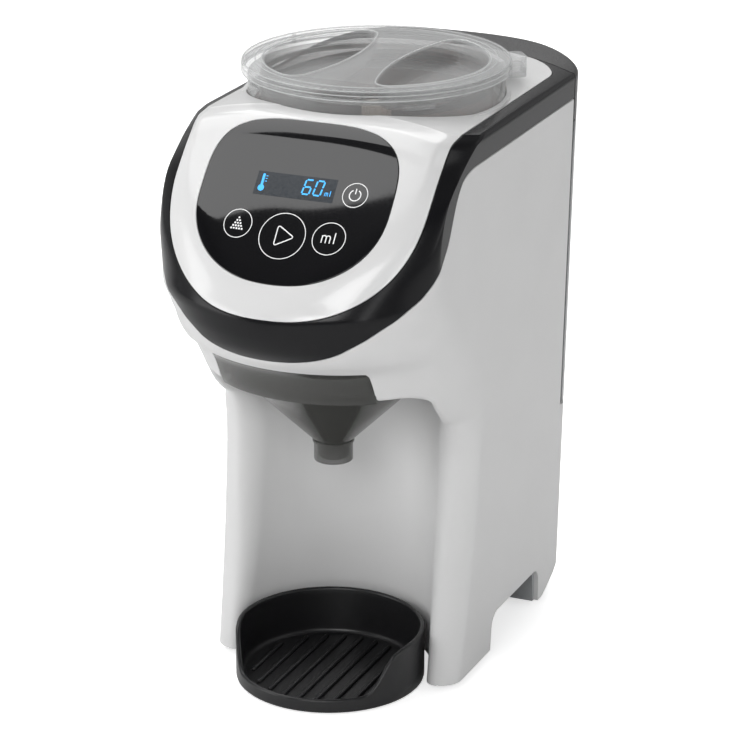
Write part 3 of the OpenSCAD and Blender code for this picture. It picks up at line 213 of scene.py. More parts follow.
class Form:
    """The body's outer form, in millimetres."""

    def __init__(self):
        scene = bpy.context.scene
        for group in (scene.formula_body, scene.formula_bay, scene.formula_hopper):
            for key in group.bl_rna.properties.keys():
                value = getattr(group, key)
                if isinstance(value, float) and key != "draft":
                    prefix = {"FormulaBodySizes": "", "FormulaBaySizes": "bay_",
                              "FormulaHopperSizes": "hopper_"}[type(group).__name__]
                    setattr(self, prefix + key, value / MM)
        self.slope = math.tan(scene.formula_body.draft)
        front, top, nose, bay = -self.depth / 2, self.cover_top, 201.0, self.bay_top
        self.front, self.rear, self.half, self.nose = front, self.depth / 2, self.width / 2, nose
        low_y = front + 5.7
        top_y = low_y + (top - 10.5 - nose - 15) * FACE_RUN
        self.profile = [
            (3, front + 77.7), (30, front + 83.4), (76, front + 91.6), (bay - 43.4, front + 96),
            (bay - 31.4, front + 91), (bay - 23.7, front + 75), (bay - 19.9, front + 57),
            (bay - 13.4, front + 41), (bay, front + 30), (bay + 15.9, front + 21.8),
            (nose - 15, front + 7), (nose - 7, front + 1.5), (nose, front), (nose + 7, front + 0.5),
            (nose + 15, low_y), (top - 10.5, top_y), (top - 4.5, top_y + 5.2),
            (top - 1.5, top_y + 10.7), (top, top_y + 20.7), (top + 12, top_y + 20.7)]
        self.corner_share = [
            (3, 0.18), (bay - 43.4, 0.18), (bay - 31.4, 0.29), (bay - 23.7, 0.65),
            (bay - 19.9, 0.87), (bay - 13.4, 0.98), (bay, 1), (nose, 1), (nose + 8, 0.97),
            (nose + 15, 0.92), (nose + 35, 0.63), (nose + 56, 0.22), (nose + 67, 0.17),
            (top + 12, 0.17)]
        self.corner_depth = [
            (3, 11), (bay - 43.4, 10), (bay - 31.4, 15), (bay - 23.7, 37), (bay - 19.9, 57),
            (bay - 13.4, 70), (bay, 71), (bay + 15.9, 64), (nose - 15, 68), (nose - 7, 69),
            (nose, 63), (nose + 8, 52), (nose + 15, 42), (nose + 35, 15), (nose + 56, 5),
            (nose + 67, 11), (top - 10.5, 20), (top + 12, 22)]
        self.crown_share = [(3, 0), (nose + 4, 0), (nose + 35, 1), (top + 12, 1)]
        self.corner_power = [(3, 2), (nose + 35, 2), (nose + 61, 1.2), (top + 12, 1.2)]
        self.rear_chamfer = [(3, 19), (7, 10), (13.5, 0), (top + 12, 0)]
        self.band_edge = [
            (front - 8, nose - 24), (front + 6, nose - 14.6), (front + 14, nose - 3.5),
            (front + 24.8, nose + 9.5), (front + 34, nose + 16.2), (front + 47.3, nose + 30.4),
            (front + 53, nose + 37.5), (front + 57.9, nose + 47.4), (front + 63.2, nose + 56.9),
            (front + 71.2, nose + 63.8), (front + 84, nose + 65.8), (self.rear + 20, nose + 65.8)]

        self.bay_spread = [(3, -1.3), (50, -1.1), (76, 0.3), (bay - 43.4, 2.3), (bay - 26, 2.3),
                           (bay - 13, 3), (bay + 4, 3)]
        track = self.bay_track()
        right = [(x + flare * nx, z + flare * nz) for x, z, nx, nz, flare in track]
        self.mouth_line = np.array([(right[0][0], -40.0)] + right
                                   + [(-x, z) for x, z in right[-2::-1]] + [(-right[0][0], -40.0)])

    def bay_track(self):
        """The bay's section from the foot to the middle of the arch: x, z, outward x and z, and
        the width of the rounding at its mouth."""
        top, arch = self.bay_top, self.bay_arch
        heights = np.concatenate([np.linspace(3, 114, 28), np.linspace(116, top - arch, 24)])
        half = self.bay_radius + curve(self.bay_spread, heights)
        track = [(x, z, 1.0, 0.0) for x, z in zip(half, heights)]
        last = half[-1]
        track += [(last - arch + arch * math.sin(a), top - arch + arch * math.cos(a),
                   math.sin(a), math.cos(a)) for a in np.linspace(math.pi / 2, 0, 13)[1:]]
        track += [(x, top, 0.0, 1.0) for x in np.linspace(last - arch, 0, 15)[1:]]
        return [(x, z, nx, nz, self.bay_flare + (self.bay_arch_flare - self.bay_flare) * nz * nz)
                for x, z, nx, nz in track]

    def half_w(self, z):
        """Half width of the body at height z."""
        return self.half - (self.cover_top - 10 - z) * self.slope

    def drop(self, share):
        """How far the crown falls at that share of the half width."""
        return self.crown * np.abs(share) ** 2.8

    def front_of(self, x, z):
        """Front of the body at x and z."""
        w = self.half_w(z)
        c = curve(self.corner_share, z) * w
        a = np.minimum(np.abs(x), w)
        along = curve(self.profile, z + curve(self.crown_share, z) * self.drop(a / w))
        return along + curve(self.corner_depth, z) * rounding((a - w + c) / c,
                                                              curve(self.corner_power, z))

    def back_of(self, x, z, inset=0.0):
        """Back of the body at x and z."""
        w = self.half_w(z)
        a = np.minimum(np.abs(x) * w / (w - inset), w)
        return (self.rear - curve(self.rear_chamfer, z) - inset
                - 27 * rounding((a - w / 2) / (w / 2), 2))

    def on_front(self, x, z, out=0.0):
        """Points on the front at x and z, stood out along the surface normal."""
        x, z = np.broadcast_arrays(np.asarray(x, float), np.asarray(z, float))
        e = 0.05
        p = np.stack([x, self.front_of(x, z), z], -1)
        dx = np.stack([np.full_like(x, 2 * e),
                       self.front_of(x + e, z) - self.front_of(x - e, z), 0 * x], -1)
        dz = np.stack([0 * x, self.front_of(x, z + e) - self.front_of(x, z - e),
                       np.full_like(x, 2 * e)], -1)
        n = unit(np.cross(dx, dz))
        return p + n * out, n

    # Outlines on the body: signed distances, positive inside

    def panel(self, p):
        """White panel, seen from the front, with rounded rear corners in plan."""
        x, y, z = p.T
        h = self.panel_mid - self.panel_low
        b = np.maximum(self.panel_mid - z, 0) / h
        r = (np.abs(x / self.panel_half) ** 2.5 + b**2.5) ** (1 / 2.5)
        high = self.panel_half + 0.6 * (z - self.panel_mid) / 46.5 - np.abs(x)
        plan = -rounded_rect(x, y - self.seam_back + 200, self.panel_half + 0.35, 200,
                             self.cover_corner)
        inside = np.where(z > self.panel_mid, high, (1 - r) * self.panel_half)
        return np.where(y > 40, np.minimum(inside, plan), inside)

    def glass(self, p):
        """Control glass, seen from the front."""
        x, y, z = p.T
        up = z > self.glass_mid
        power = np.where(up, 3.5, 2.2)
        h = np.where(up, self.glass_rise, self.glass_fall)
        r = (np.abs(x / self.glass_half) ** power
             + np.abs((z - self.glass_mid) / h) ** power) ** (1 / power)
        return np.where(y < 0, (1 - r) * self.glass_fall, -20.0)

    def band(self, p):
        """Everything above the trim band's lower edge."""
        return p[:, 2] - curve(self.band_edge, p[:, 1])

    def mouth(self, p):
        """The bay's mouth on the front of the body."""
        x, y, z = p.T
        arch = in_polygon(x, z, self.mouth_line)
        slot = np.minimum(self.bay_funnel_half + 0.35 - np.abs(x), self.bay_funnel_top + 0.35 - z)
        return np.where(y < 5, np.maximum(arch, slot), -20.0)

    def notch(self, p):
        """The notch between the front and the rear foot, seen from the side."""
        _, y, z = p.T
        mid, half = (self.notch_front + self.notch_rear) / 2, (self.notch_rear - self.notch_front) / 2
        lean = 2.5 * smooth((self.notch_top - z) / 20) * np.sign(y - mid)
        return -rounded_rect(y - mid - 0.35 * lean, z - self.notch_top + 200, half, 200, 7)


def distance(field, points, normals):
    """Distance along the surface to where a field is zero."""
    e = 0.02
    slope = np.stack([(field(points + e * axis) - field(points - e * axis)) / (2 * e)
                      for axis in np.eye(3)], -1)
    slope -= (slope * normals).sum(-1, keepdims=True) * normals
    return field(points) / np.maximum(np.linalg.norm(slope, axis=-1), 0.15)


# ---- surfaces -------------------------------------------------------------------------------


class Skin:
    """An open surface: points, outward normals and faces, in millimetres."""

    def __init__(self, points, normals, faces):
        self.points, self.normals, self.faces = points, normals, faces

    def clip(self, keep):
        """Keeps the part where keep(points, normals) is positive."""
        d = keep(self.points, self.normals)
        points, normals = list(self.points), list(self.normals)
        cuts, faces = {}, []
        inside = d >= 0
        for face in self.faces:
            flags = [inside[i] for i in face]
            if all(flags):
                faces.append(face)
                continue
            if not any(flags):
                continue
            out = []
            for k, i in enumerate(face):
                j = face[(k + 1) % len(face)]
                if inside[i]:
                    out.append(i)
                if inside[i] != inside[j]:
                    key = (min(i, j), max(i, j))
                    if key not in cuts:
                        a, b = key
                        s = min(max(d[a] / (d[a] - d[b]), 0.02), 0.98)
                        cuts[key] = len(points)
                        points.append(self.points[a] * (1 - s) + self.points[b] * s)
                        normals.append(self.normals[a] * (1 - s) + self.normals[b] * s)
                    out.append(cuts[key])
            if len(out) > 2:
                faces.append(out)
        used = sorted({i for face in faces for i in face})
        place = {i: k for k, i in enumerate(used)}
        return Skin(np.array([points[i] for i in used]), unit(np.array([normals[i] for i in used])),
                    [[place[i] for i in face] for face in faces])

    def loops(self):
        """Open edges as closed loops of points, with the surface on their left."""
        edges = {(a, b) for f in self.faces for a, b in zip(f, f[1:] + f[:1])}
        after = {a: b for a, b in edges if (b, a) not in edges}
        found = []
        while after:
            start = next(iter(after))
            loop, at = [], start
            while at in after:
                loop.append(at)
                at = after.pop(at)
            if len(loop) > 2:
                found.append(loop)
        return found

    def shell(self, wall, radius=0.4, steps=3):
        """Closed wall of this thickness with rounded edges: points, faces and corner normals."""
        points, faces, shades = [self.points], [list(f) for f in self.faces], []
        shades += [[self.normals[i] for i in f] for f in self.faces]
        n0 = len(self.points)
        points.append(self.points - self.normals * wall)
        for f in self.faces:
            faces.append([i + n0 for i in reversed(f)])
            shades.append([-self.normals[i] for i in reversed(f)])
        count = 2 * n0
        for loop in self.loops():
            p, n = self.points[loop], self.normals[loop]
            out = unit(np.cross(np.roll(p, -1, 0) - np.roll(p, 1, 0), n))
            r = radius(p)[:, None] if callable(radius) else np.full((len(loop), 1), radius)
            r = np.minimum(r, wall * 0.45)
            rows, turn = [np.array(loop)], [n]
            for k in range(1, steps + 1):
                a = math.pi / 2 * k / steps
                points.append(p + out * r * math.sin(a) - n * r * (1 - math.cos(a)))
                rows.append(np.arange(count, count + len(loop)))
                turn.append(unit(out * math.sin(a) + n * math.cos(a)))
                count += len(loop)
            points.append(p + out * r - n * wall)
            rows.append(np.arange(count, count + len(loop)))
            turn.append(out)
            count += len(loop)
            rows.append(np.array(loop) + n0)
            turn.append(-n)
            for k in range(len(rows) - 1):
                low, high = turn[k], turn[k + 1]
                if k == len(rows) - 2:
                    low = -n
                for i in range(len(loop)):
                    j = (i + 1) % len(loop)
                    faces.append([rows[k][j], rows[k][i], rows[k + 1][i], rows[k + 1][j]])
                    shades.append([low[j], low[i], high[i], high[j]])
        return np.concatenate(points), faces, shades


def grid_skin(grid, closed):
    """Skin of rows of points, whose rows run upwards and columns anticlockwise from outside."""
    rows, cols = grid.shape[:2]
    points = grid.reshape(-1, 3)
    faces = []
    for i in range(rows - 1):
        for j in range(cols if closed else cols - 1):
            k = (j + 1) % cols
            faces.append([i * cols + j, i * cols + k, (i + 1) * cols + k, (i + 1) * cols + j])
    f = np.array(faces)
    flat = np.cross(points[f[:, 2]] - points[f[:, 0]], points[f[:, 3]] - points[f[:, 1]])
    normals = np.zeros_like(points)
    for k in range(4):
        np.add.at(normals, f[:, k], flat)
    return Skin(points, unit(normals), faces)


def body_skin(f):
    """The whole outer surface: sides, front, back and the crown as far as inside the hopper."""
    front = np.sin(np.linspace(-math.pi / 2, math.pi / 2, 121))
    side = np.linspace(0, 1, 48)[1:-1]
    corner = 1 - 0.5 * (1 - np.sin(np.linspace(math.pi / 2, 0, 15)))
    flat = np.linspace(0.5, -0.5, 14)[1:-1]
    back = np.concatenate([corner, flat, -corner[::-1]])
    share = np.concatenate([front, np.ones(len(side)), back, -np.ones(len(side))])
    zone = np.concatenate([0 * front, 1 + side, 3 + 0 * back, 4 + side])

    def around(z):
        w = f.half_w(z)
        x = share * w
        yf, yb = f.front_of(x, z), f.back_of(x, z)
        edge_f, edge_b = f.front_of(w, z), f.back_of(w, z)
        t = np.where(zone < 3, zone - 1, 5 - zone)
        y = np.where(zone == 0, yf, np.where(zone == 3, yb, edge_f + (edge_b - edge_f) * t))
        return np.stack([x, y, z], -1)

    drop = f.drop(share)
    soft = np.where(zone == 0, 0.12 + (f.shoulder - 0.12) * smooth((np.abs(share) - 0.97) / 0.03),
                    f.shoulder)
    top = f.cover_top
    levels = np.concatenate([[3, 4.2, 5.5, 7, 8.6, 10.4, 13.5], np.arange(17, 114, 2.4),
                             np.arange(114, 276, 2.2), np.arange(276, 284, 1.6),
                             [284.6, 285.7, 286.6, 287.3, 287.9, 288.3, 288.5]])
    rows = []
    for level in levels:
        if level > 270:
            level = 270 + (level - 270) * (top - 270 - soft) / (top - 270)
        rows.append(around(level - drop * smooth((level - 236) / 26) + 0 * share))
    edge = around(top - drop)
    axis = np.array([0, f.hopper_middle])

    def crown(xy):
        z = top - f.drop(np.minimum(np.abs(xy[:, 0]) / f.half, 1))
        return np.column_stack([xy, z])

    inner = axis + unit(edge[:, :2] - axis) * 50
    way = unit(inner - edge[:, :2])
    landing = crown(edge[:, :2] + way * soft[:, None] * 1.1)
    start = rows[-1]
    for s in np.linspace(0, 1, 8)[1:]:
        rows.append(start * (1 - s) ** 2 + edge * 2 * s * (1 - s) + landing * s * s)
    for s in np.linspace(0, 1, 15)[1:]:
        rows.append(crown(landing[:, :2] * (1 - s) + inner * s))
    return grid_skin(np.array(rows), True)


def bay_skin(f):
    """The bay's wall, ceiling and rounded mouth, facing into the bay."""
    r, mid = f.bay_radius, f.bay_middle
    rows, edges = [], []
    for x, z, nx, nz, flare in f.bay_track():
        mx, mz = x + flare * nx, z + flare * nz
        under, outer = f.on_front(mx + 0.6 * nx, mz + 0.6 * nz, -0.12)
        mouth, normal = f.on_front(mx, mz, -0.01)
        edges.append([outer, normal])
        inward = np.array([-nx, 0, -nz])
        inward = unit(inward - (inward @ normal) * normal)
        y0 = float(mouth[1]) + f.bay_flare + 1

        def wall(y):
            return x * math.sqrt(max(0, 1 - (max(0, y - mid) / r) ** 2))

        end = np.array([wall(y0), y0, z])
        lead = unit(np.array([wall(y0 + 1) - wall(y0), 1, 0]))
        reach = 0.6 * flare
        bend = [mouth, mouth + inward * reach, end - lead * reach * 1.1, end]
        row = [under]
        for s in np.linspace(0, 1, 12):
            row.append(bend[0] * (1 - s) ** 3 + bend[1] * 3 * s * (1 - s) ** 2
                       + bend[2] * 3 * s * s * (1 - s) + bend[3] * s**3)
        for s in np.linspace(0, math.pi / 2, 22)[1:]:
            y = y0 + (mid + r - y0) * math.sin(s)
            row.append(np.array([wall(y) if s < 1.57 else 0.0, y, z]))
        rows.append(row)
    right = np.array(rows)
    flip = np.array([-1, 1, 1])
    left = right[:, ::-1][:, 1:] * flip
    grid = np.concatenate([right, left], 1)[:, ::-1]
    skin = grid_skin(grid, False)
    # The mouth keeps the front's own normals, so that no line shows where the two meet
    shade = skin.normals.reshape(grid.shape)
    edges = np.array(edges)
    shade[:, :2] = edges * flip
    shade[:, -2:] = edges[:, ::-1]
    return Skin(skin.points, shade.reshape(-1, 3), skin.faces)


# ---- meshes ---------------------------------------------------------------------------------


def shade_smooth(mesh, angle):
    """Smooth shading, sharp at edges beyond the angle in degrees."""
    mesh.polygons.foreach_set("use_smooth", [True] * len(mesh.polygons))
    mesh.set_sharp_from_angle(angle=math.radians(angle))


def finish_mesh(name, points, faces, material, shades=None, angle=32):
    """A mesh object from millimetre points, shaded smooth."""
    mesh = bpy.data.meshes.new(name)
    mesh.from_pydata([tuple(p) for p in np.asarray(points) * MM], [], [list(map(int, q)) for q in faces])
    mesh.polygons.foreach_set("use_smooth", [True] * len(mesh.polygons))
    if shades is not None:
        mesh.normals_split_custom_set([tuple(v) for q in shades for v in q])
    else:
        mesh.set_sharp_from_angle(angle=math.radians(angle))
    mesh.update()
    obj = bpy.data.objects.new(name, mesh)
    bpy.context.scene.collection.objects.link(obj)
    mesh.materials.append(material)
    return obj


def join(name, parts):
    """Joins mesh objects into the first, under a new name."""
    bpy.ops.object.select_all(action="DESELECT")
    for part in parts:
        part.select_set(True)
    bpy.context.view_layer.objects.active = parts[0]
    if len(parts) > 1:
        bpy.ops.object.join()
    parts[0].name = name
    parts[0].data.name = name
    return parts[0]


def lathe(name, profile, centre, material, segments=128, angle=32):
    """Turns a closed (radius, height) profile about a vertical axis. It runs anticlockwise."""
    profile = np.array(profile, float)
    turn = np.linspace(0, 2 * math.pi, segments, endpoint=False)
    rings = len(profile)
    points = np.array([[centre[0] + r * math.cos(a), centre[1] + r * math.sin(a), z]
                       for a in turn for r, z in profile])
    faces = [[i * rings + j, ((i + 1) % segments) * rings + j,
              ((i + 1) % segments) * rings + (j + 1) % rings, i * rings + (j + 1) % rings]
             for i in range(segments) for j in range(rings)]
    obj = finish_mesh(name, points, faces, material, angle=angle)
    tidy(obj, angle)
    return obj


def tidy(obj, angle=32):
    """Merges doubled points and turns the faces of a closed mesh outwards."""
    bm = bmesh.new()
    bm.from_mesh(obj.data)
    bmesh.ops.remove_doubles(bm, verts=bm.verts, dist=2e-6)
    bmesh.ops.dissolve_degenerate(bm, edges=bm.edges, dist=1e-6)
    bmesh.ops.recalc_face_normals(bm, faces=bm.faces)
    bm.to_mesh(obj.data)
    bm.free()
    shade_smooth(obj.data, angle)


def fillet(profile, radii, steps=5):
    """Rounds the corners of a closed profile of points."""
    p = np.array(profile, float)
    out = []
    for i, r in enumerate(radii):
        a, b, c = p[i - 1], p[i], p[(i + 1) % len(p)]
        u, v = unit(a - b), unit(c - b)
        half = math.acos(float(np.clip(u @ v, -1, 1))) / 2
        if r <= 0 or half > 1.55:
            out.append(b)
            continue
        cut = min(r / math.tan(half), 0.49 * np.linalg.norm(a - b), 0.49 * np.linalg.norm(c - b))
        start, stop = b + u * cut, b + v * cut
        for s in np.linspace(0, 1, steps + 1):
            w = [(1 - s) ** 2, 2 * s * (1 - s) * math.sin(half), s * s]
            out.append((start * w[0] + b * w[1] + stop * w[2]) / sum(w))
    return np.array(out)


def loft(name, rings, material, angle=32):
    """Closed solid through rings of points, with a point at the middle of each end."""
    rings = [np.asarray(r, float) for r in rings]
    n = len(rings[0])
    points = np.concatenate(rings + [rings[0].mean(0)[None], rings[-1].mean(0)[None]])
    faces = [[k * n + j, k * n + (j + 1) % n, (k + 1) * n + (j + 1) % n, (k + 1) * n + j]
             for k in range(len(rings) - 1) for j in range(n)]
    low, high, last = n * len(rings), n * len(rings) + 1, (len(rings) - 1) * n
    faces += [[(j + 1) % n, j, low] for j in range(n)]
    faces += [[last + j, last + (j + 1) % n, high] for j in range(n)]
    obj = finish_mesh(name, points, faces, material, angle=angle)
    tidy(obj, angle)
    return obj


def plate(name, outline, holes, z0, z1, material, edge=0.3):
    """Flat plate between two heights with holes through it and lightly rounded edges."""
    loops = [np.asarray(outline, float)] + [np.asarray(h, float)[::-1] for h in holes]
    flat = [[Vector((*p, 0)) for p in loop] for loop in loops]
    tris = tessellate_polygon(flat)
    p2 = np.concatenate(loops)
    n = len(p2)
    points = np.concatenate([np.column_stack([p2, np.full(n, z)]) for z in (z0, z1)])
    faces = [[t[0] + n, t[1] + n, t[2] + n] for t in tris] + [[t[2], t[1], t[0]] for t in tris]
    at = 0
    for loop in loops:
        m = len(loop)
        faces += [[at + j, at + (j + 1) % m, at + (j + 1) % m + n, at + j + n] for j in range(m)]
        at += m
    obj = finish_mesh(name, points, faces, material)
    tidy(obj)
    if edge:
        soften(obj, edge)
    return obj


def soften(obj, width, angle=40, segments=2):
    """Rounds the sharp edges of a mesh with an applied bevel."""
    bevel = obj.modifiers.new("Edge", "BEVEL")
    bevel.width, bevel.segments, bevel.limit_method = width * MM, segments, "ANGLE"
    bevel.angle_limit = math.radians(angle)
    bevel.harden_normals = False
    bake(obj)
    shade_smooth(obj.data, 40)


def bake(obj):
    """Applies an object's modifiers."""
    graph = bpy.context.evaluated_depsgraph_get()
    graph.update()
    mesh = bpy.data.meshes.new_from_object(obj.evaluated_get(graph), depsgraph=graph)
    old = obj.data
    obj.modifiers.clear()
    obj.data = mesh
    bpy.data.meshes.remove(old)
    mesh.name = obj.name


def box(name, lo, hi, material, edge=0.5):
    """Box between two corners with rounded edges."""
    (x0, y0, z0), (x1, y1, z1) = lo, hi
    points = [(x, y, z) for z in (z0, z1) for y in (y0, y1) for x in (x0, x1)]
    faces = [[0, 2, 3, 1], [4, 5, 7, 6], [0, 1, 5, 4], [2, 6, 7, 3], [0, 4, 6, 2], [1, 3, 7, 5]]
    obj = finish_mesh(name, points, faces, material)
    soften(obj, edge, segments=3)
    return obj


def skin_piece(name, skin, wall, radius, material):
    """Object of a clipped skin given its wall."""
    points, faces, shades = skin.shell(wall, radius)
    return finish_mesh(name, points, faces, material, shades)


def seat(obj, body, nodes=()):
    """Rides a piece on its body and stands it for its nodes."""
    if nodes:
        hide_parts(*nodes)
    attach(obj, body)
    return obj


# ---- materials ------------------------------------------------------------------------------


def material(name, colour, roughness=0.4, grain=900.0, bump=0.02, vary=0.03, metallic=0.0,
             coat=0.0, coat_rough=0.05, alpha=None, rim_alpha=None, specular=0.5, ior=1.46,
             emission=None, rough_vary=0.05, stretch=(1, 1, 1)):
    """Moulded plastic, metal or rubber: fine grain, slow mottling and uneven gloss."""
    found = bpy.data.materials.get(name)
    if found:
        return found
    m = bpy.data.materials.new(name)
    m.use_nodes = True
    nodes, links = m.node_tree.nodes, m.node_tree.links
    nodes.clear()
    out = nodes.new("ShaderNodeOutputMaterial")
    shader = nodes.new("ShaderNodeBsdfPrincipled")
    links.new(shader.outputs["BSDF"], out.inputs["Surface"])
    where = nodes.new("ShaderNodeTexCoord")
    mapping = nodes.new("ShaderNodeMapping")
    mapping.inputs["Scale"].default_value = stretch
    links.new(where.outputs["Object"], mapping.inputs["Vector"])

    def noise(scale, detail):
        node = nodes.new("ShaderNodeTexNoise")
        node.inputs["Scale"].default_value = scale
        node.inputs["Detail"].default_value = detail
        links.new(mapping.outputs["Vector"], node.inputs["Vector"])
        return node.outputs["Fac"]

    def ramp(value, lo, hi):
        node = nodes.new("ShaderNodeMapRange")
        node.inputs["To Min"].default_value, node.inputs["To Max"].default_value = lo, hi
        node.inputs["From Min"].default_value, node.inputs["From Max"].default_value = 0.3, 0.7
        links.new(value, node.inputs["Value"])
        return node.outputs["Result"]

    slow, fine = noise(26.0, 2.0), noise(grain, 3.0)
    mix = nodes.new("ShaderNodeMix")
    mix.data_type = "RGBA"
    mix.inputs["A"].default_value = (*[c * (1 - vary) for c in colour], 1)
    mix.inputs["B"].default_value = (*[min(1, c * (1 + vary)) for c in colour], 1)
    links.new(ramp(slow, 0, 1), mix.inputs["Factor"])
    links.new(mix.outputs["Result"], shader.inputs["Base Color"])
    links.new(ramp(fine, max(0.02, roughness - rough_vary), roughness + rough_vary),
              shader.inputs["Roughness"])
    if bump:
        relief = nodes.new("ShaderNodeBump")
        relief.inputs["Strength"].default_value = bump
        relief.inputs["Distance"].default_value = 0.0004
        links.new(fine, relief.inputs["Height"])
        links.new(relief.outputs["Normal"], shader.inputs["Normal"])
    shader.inputs["Metallic"].default_value = metallic
    shader.inputs["Coat Weight"].default_value = coat
    shader.inputs["Coat Roughness"].default_value = coat_rough
    shader.inputs["Specular IOR Level"].default_value = specular
    shader.inputs["IOR"].default_value = ior
    if alpha is not None:
        edge = nodes.new("ShaderNodeLayerWeight")
        edge.inputs["Blend"].default_value = 0.35
        span = nodes.new("ShaderNodeMapRange")
        span.inputs["To Min"].default_value = alpha
        span.inputs["To Max"].default_value = rim_alpha if rim_alpha is not None else alpha
        links.new(edge.outputs["Facing"], span.inputs["Value"])
        links.new(span.outputs["Result"], shader.inputs["Alpha"])
    if emission:
        shader.inputs["Emission Color"].default_value = (*emission[:3], 1)
        shader.inputs["Emission Strength"].default_value = emission[3]
    return m


def finishes():
    """Every material of the object, by the name of its slot."""
    c = bpy.context.scene.formula_colours
    return {
        "white_cover": material("gloss_white_abs", c.cover, 0.22, 1400, 0.006, 0.008, coat=0.35,
                                coat_rough=0.08),
        "side_shell": material("satin_grey_white_abs", c.side, 0.5, 1900, 0.05, 0.012),
        "band": material("charcoal_satin_abs", c.band, 0.22, 1500, 0.003, 0.04,
                         specular=0.28, rough_vary=0.03),
        "control_glass": material("black_control_glass", c.glass, 0.035, 700, 0, 0.1,
                                  specular=0.85, rough_vary=0.01),
        "display": material("display_window", (0.006, 0.008, 0.011), 0.12, 600, 0, 0.05),
        "circuit_board": material("green_board", (0.03, 0.16, 0.07), 0.45, 700, 0.03, 0.12),
        "grey_moulding": material("grey_inner_moulding", (0.34, 0.35, 0.36), 0.5, 1200, 0.03),
        "black_moulding": material("black_inner_moulding", (0.02, 0.02, 0.022), 0.45, 1200, 0.03),
        "white_moulding": material("white_inner_moulding", (0.72, 0.72, 0.71), 0.42, 1200, 0.02),
        "rubber": material("foot_rubber", (0.03, 0.03, 0.031), 0.75, 1500, 0.12),
        "steel": material("bright_steel", (0.55, 0.55, 0.56), 0.28, 1800, 0.02, metallic=1.0,
                          stretch=(1, 1, 6)),
        "bush": material("sintered_bush", (0.42, 0.30, 0.16), 0.42, 2600, 0.06, metallic=0.7),
        "motor": material("motor_can", (0.36, 0.37, 0.38), 0.35, 1500, 0.03, metallic=0.9),
        "gear": material("acetal_gear", (0.66, 0.62, 0.52), 0.38, 1300, 0.02),
        "heater": material("heater_alloy", (0.48, 0.49, 0.50), 0.4, 1300, 0.04, metallic=0.9),
        "hose": material("silicone_hose", (0.55, 0.57, 0.58), 0.45, 900, 0.02, alpha=0.8),
        "clear_hopper": material("clear_hopper_plastic", (0.56, 0.57, 0.57), 0.08, 900, 0,
                                 alpha=0.16, rim_alpha=0.6, coat=0.3),
        "wheel": material("salmon_wheel_plastic", c.wheel, 0.35, 1200, 0.02),
        "post": material("pale_post_plastic", (0.70, 0.64, 0.56), 0.4, 1300, 0.02),
        "clear_lid": material("clear_lid_plastic", (0.52, 0.53, 0.53), 0.06, 900, 0,
                              alpha=0.1, rim_alpha=0.6, coat=0.4),
        # Whitish and denser than the clear lid: a painted highlight for the beads along the lid's edges
        "lid_painted_highlight": material("clear_lid_painted_highlight", (0.80, 0.81, 0.81), 0.08, 900, 0, 0.02, alpha=0.5,
                             rim_alpha=0.8, coat=0.5),
        "seal": material("pale_silicone", (0.60, 0.60, 0.59), 0.5, 900, 0.02, alpha=0.55),
        "smoke_funnel": material("smoked_plastic", c.smoke, 0.16, 1000, 0.006, 0.05, alpha=0.55,
                                 rim_alpha=0.93, coat=0.2),
        "tray": material("black_tray_plastic", c.tray, 0.33, 1500, 0.03, 0.08),
        "smoke_tank": material("grey_tank_plastic", (0.13, 0.14, 0.145), 0.14, 1000, 0.006, 0.04,
                               alpha=0.72, rim_alpha=0.95, coat=0.3),
        "tank_lid": material("black_lid_abs", (0.012, 0.012, 0.013), 0.3, 1500, 0.015, 0.05),
        "key_print": material("key_print_ink", c.ink, 0.4, 1200, 0, 0.02,
                              emission=(*c.ink, 0.15)),
        "digit_print": material("display_light", c.digit, 0.4, 1200, 0, 0.05,
                                emission=(*c.digit, 0.9)),
        "digit_dim": material("display_haze", (0.004, 0.010, 0.018), 0.1, 800, 0, 0.1),
    }


# ---- geometry nodes -------------------------------------------------------------------------


def nodes_tree(name, sockets):
    """A geometry node tree with named number inputs and one geometry output."""
    tree = bpy.data.node_groups.new(name, "GeometryNodeTree")
    tree.interface.new_socket("Geometry", in_out="OUTPUT", socket_type="NodeSocketGeometry")
    for label, kind, default in sockets:
        socket = tree.interface.new_socket(label, in_out="INPUT", socket_type=kind)
        if default is not None:
            socket.default_value = default
    return tree, tree.nodes.new("NodeGroupInput"), tree.nodes.new("NodeGroupOutput")


def run_tree(name, tree, values, finish):
    """Runs a tree on an empty mesh with its inputs set, and keeps the result as a mesh."""
    obj = bpy.data.objects.new(name, bpy.data.meshes.new(name))
    bpy.context.scene.collection.objects.link(obj)
    mod = obj.modifiers.new("Nodes", "NODES")
    mod.node_group = tree
    for item in tree.interface.items_tree:
        if item.in_out == "INPUT" and item.name in values:
            mod[item.identifier] = values[item.name]
    bake(obj)
    obj.data.materials.clear()
    obj.data.materials.append(finish)
    shade_smooth(obj.data, 35)
    return obj


def end_tree(tree, geometry, source, target):
    """Realizes the instances, sets the material and ends the tree."""
    real = tree.nodes.new("GeometryNodeRealizeInstances")
    paint = tree.nodes.new("GeometryNodeSetMaterial")
    tree.links.new(geometry, real.inputs["Geometry"])
    tree.links.new(real.outputs["Geometry"], paint.inputs["Geometry"])
    tree.links.new(source.outputs["Material"], paint.inputs["Material"])
    tree.links.new(paint.outputs["Geometry"], target.inputs["Geometry"])


